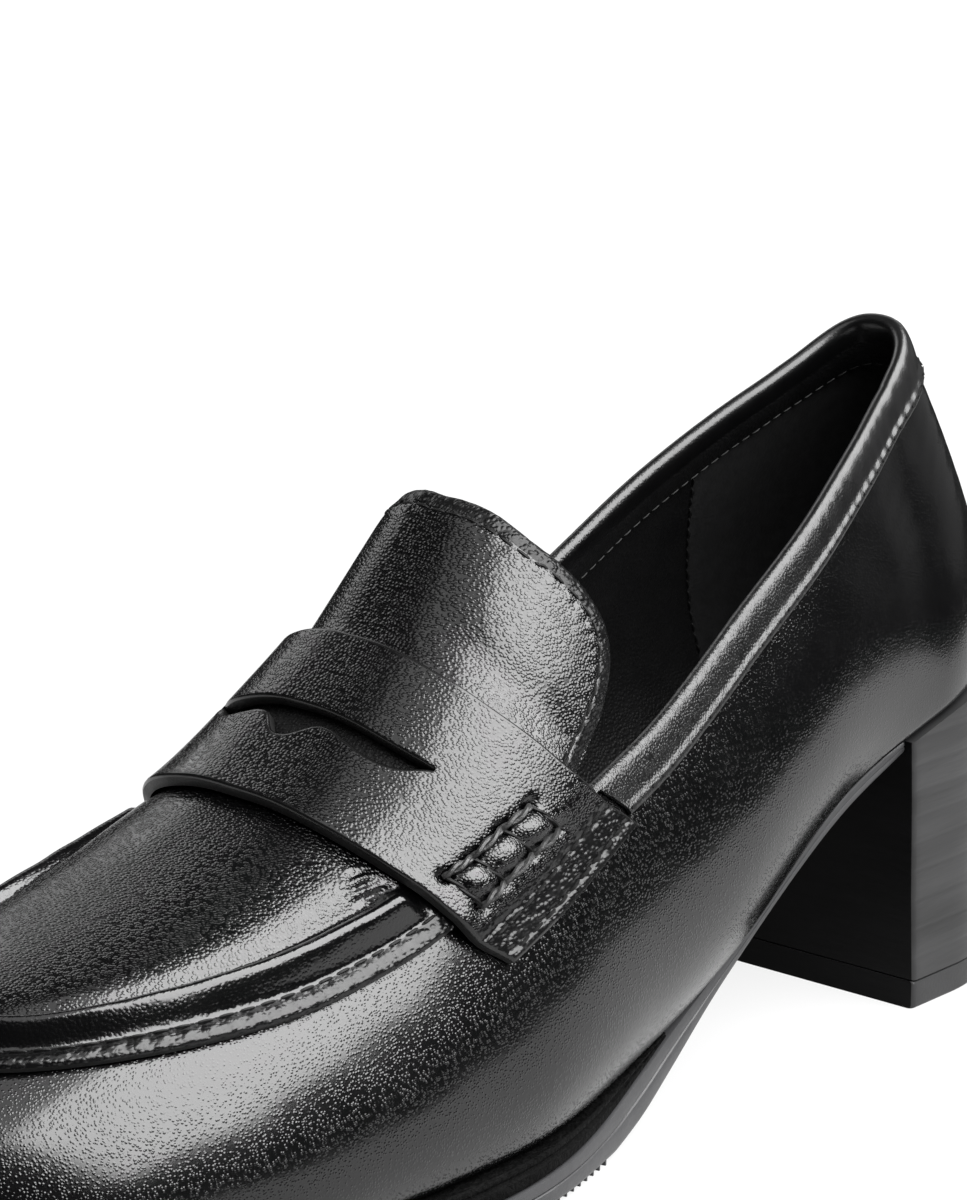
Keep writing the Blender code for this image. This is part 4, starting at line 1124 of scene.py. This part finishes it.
# %% Tables and heights of the sole
SOLE = table("station margin underside welt", (
    (38, -1.2, 45.6, 0), (55, -0.6, 38.3, 0), (85, -0.3, 17.9, 0), (103, 0.6, 7, 0.7), (112, 1.2, 2.9, 1.8),
    (121, 1.8, 0.8, 2.9), (130, 2.1, 0.1, 3.7), (145, 2.3, 0, 4.2), (180, 2.4, 0, 4.2), (206, 2.4, 0, 4.2),
    (228, 2.4, 1.2, 4.2), (248, 2.4, 3.8, 4.2),
))
MIDSOLE_REAR, MIDSOLE_SETBACK = 104.0, 0.6
BREAST_LATERAL, BREAST_MEDIAL = 38.0, 40.8
TREAD = 0.7
WELT_EDGE = table("out up", (
    (-1.2, 0), (-0.25, 0.02), (0.05, 0.10), (0.12, 0.3), (0.05, 0.48), (-0.35, 0.55), (-0.5, 0.62), (-0.3, 0.7),
    (0, 0.78), (0, 0.92), (-0.25, 0.99), (-1.2, 1),
))
SOLE_EDGE = table("out up", (
    (-2.4, 0), (-1.2, 0.02), (-0.5, 0.10), (-0.15, 0.22), (0, 0.4), (0, 0.575), (-0.12, 0.6), (-0.38, 0.62),
    (-0.38, 0.635), (-0.12, 0.655), (0, 0.68), (-0.05, 0.85), (-0.25, 0.97), (-0.8, 1),
))


def sole_top(station):
    """Top of the outsole: under the welt where there is one, and else under the upper."""
    return feather_height(station) - GAP - np.maximum(smooth(station, SOLE["station"], SOLE["welt"]), 0)


def sole_underside(station):
    """Underside of the outsole: the waist's curve down to the tread, and the toe's spring."""
    return np.maximum(smooth(station, SOLE["station"], SOLE["underside"]), 0)


print("welt at the ball", SOLE["welt"].max(), "mm thick, sole standing out", SOLE["margin"].max(), "mm")


# %% [markdown]
# Both plates have two long sides, so each ring of the loft goes up one side's profile and down the
# other's. At the toe the two sides meet, and the rings shrink to a line there.

# %% Midsole and outsole
def sole_walk(station):
    """Walk steps of one side from a station of the waist to the toe."""
    return np.concatenate([np.linspace(walk_at(station), 2, 120), np.linspace(2, 3, 80)[1:]])


def add_sole(name, rears, edge, setback, low_of, high_of, finish, node):
    """A plate whose edge profile runs along both sides: out from the margin, and up from low to high."""
    halves = []
    for one_side, rear in zip((LATERAL, MEDIAL), rears):
        walk = sole_walk(rear)
        side = np.full(len(walk), one_side)
        margin = smooth(feather_and_spine(walk, side)[0], SOLE["station"], SOLE["margin"]) - setback
        rows = []
        for out, up in zip(edge["out"], edge["up"]):
            plan = edge_point(walk, side, margin + out)
            low = low_of(plan[:, 0])
            rows.append(lifted(plan, low + (high_of(plan[:, 0]) - low) * up))
        halves.append(rows)
    rings = np.stack(halves[0] + halves[1][::-1], 1)
    return add_loft(name, rings, [finish], [node], caps=(True, False))


add_sole("midsole_welt", (MIDSOLE_REAR, MIDSOLE_REAR), WELT_EDGE, MIDSOLE_SETBACK, lambda x: sole_top(x) + 0.1,
         lambda x: feather_height(x) - 0.15, welt_black, "midsole")
add_sole("outsole_rubber", (BREAST_LATERAL + GAP, BREAST_MEDIAL + GAP), SOLE_EDGE, 0.0,
         lambda x: np.maximum(sole_underside(x), TREAD), sole_top, grey_rubber, "outsole")

# %% [markdown]
# The tread is a row of short ribs along each edge, square to it, and a herringbone of longer ribs in
# the middle. They show as tiny teeth along the lower edge. An Array modifier could repeat one rib, but
# these turn with the edge, so every rib is a small tapered block and all are made in one array.

# %% Tread ribs
RIB_CORNERS = np.array([(-1, -1), (1, -1), (1, 1), (-1, 1)], float)
RIB_TAPER, RIB_SUNK = 0.7, 0.05


def add_ribs(name, centre, direction, length, width, top):
    """Small blocks on the floor: four corners below and four, wider, above, for all ribs at once."""
    across = np.stack([-direction[:, 1], direction[:, 0]], -1)
    levels = []
    for spread, height in ((RIB_TAPER, np.zeros(len(centre))), (1.0, top)):
        corner = centre[:, None] + direction[:, None] * RIB_CORNERS[:, :1] * length / 2
        corner = corner + across[:, None] * RIB_CORNERS[:, 1:] * width / 2 * spread
        levels.append(lifted(corner, height[:, None] + 0 * corner[..., 0]))
    points = np.concatenate(levels, 1).reshape(-1, 3)
    block = np.array([(3, 2, 1, 0), (4, 5, 6, 7), (0, 1, 5, 4), (1, 2, 6, 5), (2, 3, 7, 6), (3, 0, 4, 7)])
    faces = (np.arange(len(centre))[:, None, None] * 8 + block).reshape(-1, 4)
    return add_piece(name, points, [faces], [grey_rubber])


RIBS_FROM, RIBS_TO, RIB_EVERY = 124.0, 214.0, 13
RIB_MIDDLE, RIB_DEEPER, SOLE_EDGE_AT = -0.9, -3.0, 0.9
EDGE_RIB_LENGTH, EDGE_RIB_WIDTH = 3.7, 0.45

walk, side = round_the_foot(0, 900, 500, walk_at(RIBS_FROM))
plan = edge_point(walk, side, SOLE_EDGE_AT)
flat = (plan[:, 0] > RIBS_FROM) & (plan[:, 0] < RIBS_TO)
walk, side = walk[flat], side[flat]
plan, deeper = edge_point(walk, side, RIB_MIDDLE), edge_point(walk, side, RIB_DEEPER)
keep = np.arange(0, len(plan), RIB_EVERY)
direction = unit(plan - deeper)[keep]
rib_top = sole_underside(plan[keep, 0]) + TREAD + RIB_SUNK
add_ribs("tread_edge_ribs", plan[keep], direction, EDGE_RIB_LENGTH, EDGE_RIB_WIDTH, rib_top)

# %% [markdown]
# In the herringbone every second column of ribs slants the other way. The field follows the last's plan,
# drawn in towards the toe, and keeps clear of the edge ribs.

# %% Herringbone
FIELD_REAR, ROW_PITCH, COLUMN_PITCH, FIELD_HALF = 128.0, 4.0, 5.0, 30.0
FIELD_SWING, FIELD_SHIFT, FIELD_CLEAR, TOE_NARROWING = 0.5, -1.0, 7.0, 0.35
FIELD_RIB_LENGTH, FIELD_RIB_WIDTH = 5.4, 1.3

across = np.arange(-FIELD_HALF, FIELD_HALF + 1, COLUMN_PITCH)
rows, columns = np.meshgrid(np.arange(FIELD_REAR, RIBS_TO, ROW_PITCH), across, indexing="ij")
centre = np.stack([rows, columns + swing(rows) * FIELD_SWING + FIELD_SHIFT], -1).reshape(-1, 2)
half = by_side(np.sign(centre[:, 1]), centre[:, 0], LAST)
half = half - np.maximum(centre[:, 0] - TOE_CENTRE, 0) * TOE_NARROWING
centre = centre[np.abs(centre[:, 1]) < half - FIELD_CLEAR]
slant = np.where(np.round((centre[:, 1] - FIELD_SHIFT + FIELD_HALF) / COLUMN_PITCH) % 2 < 1, 1.0, -1.0)
direction = unit(np.stack([slant, np.ones(len(centre))], -1))
field_top = np.full(len(centre), TREAD + RIB_SUNK)
add_ribs("tread_herringbone", centre, direction, FIELD_RIB_LENGTH, FIELD_RIB_WIDTH, field_top)

# %% [markdown]
# ## Heel
#
# The block heel is a stack of thin layers, stained black, with a black cover on its breast. The layers
# show as shallow lines. The outline at each level is a superellipse behind and straight sides to the
# breast. A Bevel could round a plain block's edges, but an outline for every level also gives the taper.

# %% Outline of the heel
HEEL = table("up back lateral medial", (
    (0, 7, 27, 24.6), (0.35, 5.6, 26.4, 24), (0.75, 4.4, 26, 23.6), (1, 4.2, 25.6, 23.4),
))
HEEL_FAN_CENTRE, HEEL_FAN_POWER = 27.0, 2.5
CORNER = 0.9
FAN_POINTS, STRAIGHT_POINTS, CORNER_POINTS, BREAST_POINTS = 30, 9, 4, 12


def heel_ring(up, shrink):
    """Plan of the heel at a share of its height: a superellipse, straight sides, round corners and the breast."""
    back, lateral, medial = (np.interp(up, HEEL["up"], HEEL[name]) for name in ("back", "lateral", "medial"))
    turn = np.linspace(0, np.pi / 2, FAN_POINTS)
    slant = (BREAST_MEDIAL - BREAST_LATERAL) / (HEEL["lateral"][0] + HEEL["medial"][0])
    halves = []
    for one_side, width in ((LATERAL, lateral), (MEDIAL, medial)):
        width = width - shrink
        r = fan_radius(HEEL_FAN_CENTRE - back - shrink, width, HEEL_FAN_POWER, np.cos(turn), np.sin(turn))
        fan = np.stack([HEEL_FAN_CENTRE - r * np.cos(turn), one_side * r * np.sin(turn)], -1)
        front = BREAST_LATERAL + slant * (HEEL["lateral"][0] - one_side * width)
        forward = np.linspace(HEEL_FAN_CENTRE, front - CORNER, STRAIGHT_POINTS + 1)[1:]
        straight = np.stack([forward, np.full(STRAIGHT_POINTS, one_side * width)], -1)
        bend = np.linspace(0, np.pi / 2, CORNER_POINTS + 1)[1:]
        bend_x = front - CORNER + CORNER * np.sin(bend)
        corner = np.stack([bend_x, one_side * (width - CORNER + CORNER * np.cos(bend))], -1)
        halves.append(np.vstack([fan, straight, corner]))
    share = np.linspace(0, 1, BREAST_POINTS + 2)[1:-1, None]
    breast = halves[0][-1] + (halves[1][-1] - halves[0][-1]) * share
    return np.vstack([halves[0], breast, halves[1][:0:-1]])


print("outline of the heel", len(heel_ring(0.0, 0.0)), "points")

# %% [markdown]
# The lines between the layers are cut into the outline level by level, by moving it towards a smaller
# one. The breast has a cover of its own, so the cuts stop short of it. The top lift below is a plain
# rubber plate with rounded edges.

# %% Heel block and top lift
LIFT_PLY = 5.0
LAYER, LINE_DEPTH, LINE_WIDTH, LAYER_WAVE = 4.9, 0.07, 0.3, 0.03
LEVELS = 180


def layer_lines(height):
    """Depth of the stack's lines at a height: narrow cuts a layer apart, over a soft wave of each layer."""
    shifted = height + 0.5 * np.sin(height / 6.1)
    phase = shifted / LAYER - np.round(shifted / LAYER)
    return LINE_DEPTH * np.exp(-(phase * LAYER / LINE_WIDTH) ** 2) + LAYER_WAVE * np.cos(2 * np.pi * phase)


levels = np.linspace(0, 1, LEVELS)
low = LIFT_PLY + GAP
side_points = FAN_POINTS + STRAIGHT_POINTS + CORNER_POINTS
cut = np.ones(2 * side_points + BREAST_POINTS - 1)
cut[side_points - 3:side_points + BREAST_POINTS + 3] = 0
rings = []
for up in levels:
    outlines = np.stack([heel_ring(up, 0.0), heel_ring(up, 1.0)])
    tall = feather_height(outlines[0, :, 0]) - GAP - low
    depth = (layer_lines(low + tall * up) * cut)[:, None]
    rings.append(lifted(outlines[0] * (1 - depth) + outlines[1] * depth, low + tall * up))
on_breast = np.zeros_like(cut)
on_breast[side_points - 2:side_points + BREAST_POINTS] = 1
add_loft("heel_stack_block", np.stack(rings), [heel_stack, breast_cover], ["heel_block"],
         caps=(True, True), ring_kinds=on_breast)
edges = table("up shrink", ((0, 0.5), (0.06, 0.12), (0.14, 0), (0.9, 0), (0.97, 0.12), (1, 0.45)))
rings = [lifted(heel_ring(0.0, shrink), LIFT_PLY * up) for up, shrink in zip(edges["up"], edges["shrink"])]
add_loft("heel_lift", np.stack(rings), [lift_rubber, breast_cover], ["heel_top_lift"],
         caps=(True, True), ring_kinds=on_breast)

# %% [markdown]
# ## Floor, light and camera
#
# Black leather shows little but what it mirrors, so the floor matters as much as the lights. The floor
# that the camera sees glows white, and more so away from the shoe. Gloss mirrors a smaller, greyer one
# instead, which leaves the dark room above it: a wide white floor would wash out all the sides.

# %% Floors and room
FLOOR_SIZE = 14.0
PAPER_SIZE = 0.9
GLOW_NEAR, GLOW_FAR = 0.3, 0.9


def add_floor(name, size, turn, colour, glow):
    """A square floor about the shoe: four corners at a turn, in a matt white whose glow grows away from the shoe."""
    angle = np.radians(turn + 45 + 90 * np.arange(4))
    corner = np.stack([np.cos(angle), np.sin(angle), 0 * angle], -1) * size / np.sqrt(2)
    mesh = bpy.data.meshes.new(name)
    mesh.from_pydata(corner.tolist(), [], [(0, 1, 2, 3)])
    finish, shader, tree = new_material(name, (colour, colour, colour), 0.9, Emission_Color=(1, 1, 1, 1))
    away = add_node(tree, "ShaderNodeVectorMath", operation="LENGTH")
    tree.links.new(object_space(tree), away.inputs[0])
    grow = add_node(tree, "ShaderNodeMapRange", From_Min=GLOW_NEAR, From_Max=GLOW_FAR, To_Min=glow[0], To_Max=glow[1])
    tree.links.new(away.outputs["Value"], grow.inputs["Value"])
    tree.links.new(grow.outputs["Result"], shader.inputs["Emission Strength"])
    mesh.materials.append(finish)
    floor = bpy.data.objects.new(name, mesh)
    bpy.context.scene.collection.objects.link(floor)
    floor.visible_shadow = False
    return floor


floor = add_floor("floor", FLOOR_SIZE, turn=0, colour=0.08, glow=(0.8, 1.05))
floor.visible_glossy = False
paper = add_floor("mirrored_floor", PAPER_SIZE, turn=43, colour=0.29, glow=(0.0, 0.0))
paper.visible_camera = False

world = bpy.data.worlds.new("dim_room")
bpy.context.scene.world = world
world.use_nodes = True
background = world.node_tree.nodes["Background"]
background.inputs["Color"].default_value = (1, 1, 1, 1)
background.inputs["Strength"].default_value = 0.04
bpy.context.scene.view_settings.view_transform = "Standard"
print("floor", FLOOR_SIZE, "m, mirrored floor", PAPER_SIZE, "m")


# %% [markdown]
# Each light stands where one part of the shoe mirrors it. The large softbox above the outer side makes
# the pale bands on vamp, strap and tongue. The panels behind and on the inner side draw the tops of
# tongue and strap, a small one in front softens the edge of the bands, and a weak fill reaches the back.

# %% Lights
def place_axes(right, up, back, place):
    """A matrix with three axes as its columns, at a place."""
    return Matrix([[*row, p] for row, p in zip(np.stack([right, up, back], -1), place)] + [[0, 0, 0, 1]])


def look_at(place, target):
    """A matrix at a place whose -Z axis points to a target, with Y as high as it can be."""
    back = unit(np.asarray(place, float) - np.asarray(target, float))
    right = unit(np.cross((0, 0, 1), back)) if abs(back[2]) < 0.999 else np.array([1.0, 0, 0])
    return place_axes(right, np.cross(back, right), back, place)


def add_softbox(name, place, target, size, power):
    """A rectangular soft light aimed at a target."""
    lamp = bpy.data.lights.new(name, "AREA")
    lamp.shape = "RECTANGLE"
    lamp.size, lamp.size_y = size
    lamp.energy = power
    light = bpy.data.objects.new(name, lamp)
    bpy.context.scene.collection.objects.link(light)
    light.matrix_world = look_at(place, target)


add_softbox("overhead_softbox", (-0.198, 0.567, 0.87), (0, 0, 0.04), (1.45, 1.1), 56)
add_softbox("back_panel", (-1.5, -1.4, 1.2), (0, 0, 0.05), (2.6, 0.9), 8)
add_softbox("left_panel", (0.42, -0.06, 1.12), (0, 0, 0.05), (0.8, 0.9), 3.4)
add_softbox("inner_panel", (-0.07, -1.9, 1.15), (0, 0, 0.06), (1.2, 0.8), 5.5)
add_softbox("rear_fill", (-1.9, 0.25, 0.4), (0, 0, 0.06), (1.4, 0.7), 0.7)

print("lights", [light.name for light in bpy.data.lights])

# %% [markdown]
# The camera has the place and the long lens that the picture was taken with. It could be moved about by
# eye, but a known corner of the heel, its pixel and its distance fix the place exactly.

# %% Camera
VIEW_AZIMUTH, VIEW_ELEVATION = np.radians([43.0, 15.5])
ANCHOR = np.array([38.0, 27.0, 0.0])
ANCHOR_PIXEL = np.array([913.0, 1010.0])
IMAGE_SIZE = np.array([967.0, 1200.0])
FOCAL_PIXELS = 4000.0
ANCHOR_DEPTH = 690.0

back = np.array([np.cos(VIEW_ELEVATION) * np.cos(VIEW_AZIMUTH), np.cos(VIEW_ELEVATION) * np.sin(VIEW_AZIMUTH),
                 np.sin(VIEW_ELEVATION)])
right = unit(np.cross((0, 0, 1), back))
up = np.cross(back, right)
off = (ANCHOR_PIXEL - IMAGE_SIZE / 2) / FOCAL_PIXELS * ANCHOR_DEPTH
place = ANCHOR - right * off[0] + up * off[1] + back * ANCHOR_DEPTH
camera_data = bpy.data.cameras.new("camera")
camera_data.sensor_width = 36.0
camera_data.lens = camera_data.sensor_width * FOCAL_PIXELS / IMAGE_SIZE.max()
camera_data.clip_start = 0.01
camera_data.clip_end = 50.0
camera = bpy.data.objects.new("camera", camera_data)
bpy.context.scene.collection.objects.link(camera)
camera.matrix_world = place_axes(right, up, back, (place - ORIGIN) * MM)
bpy.context.scene.camera = camera
print("lens", camera_data.lens, "mm, camera at", camera.location)
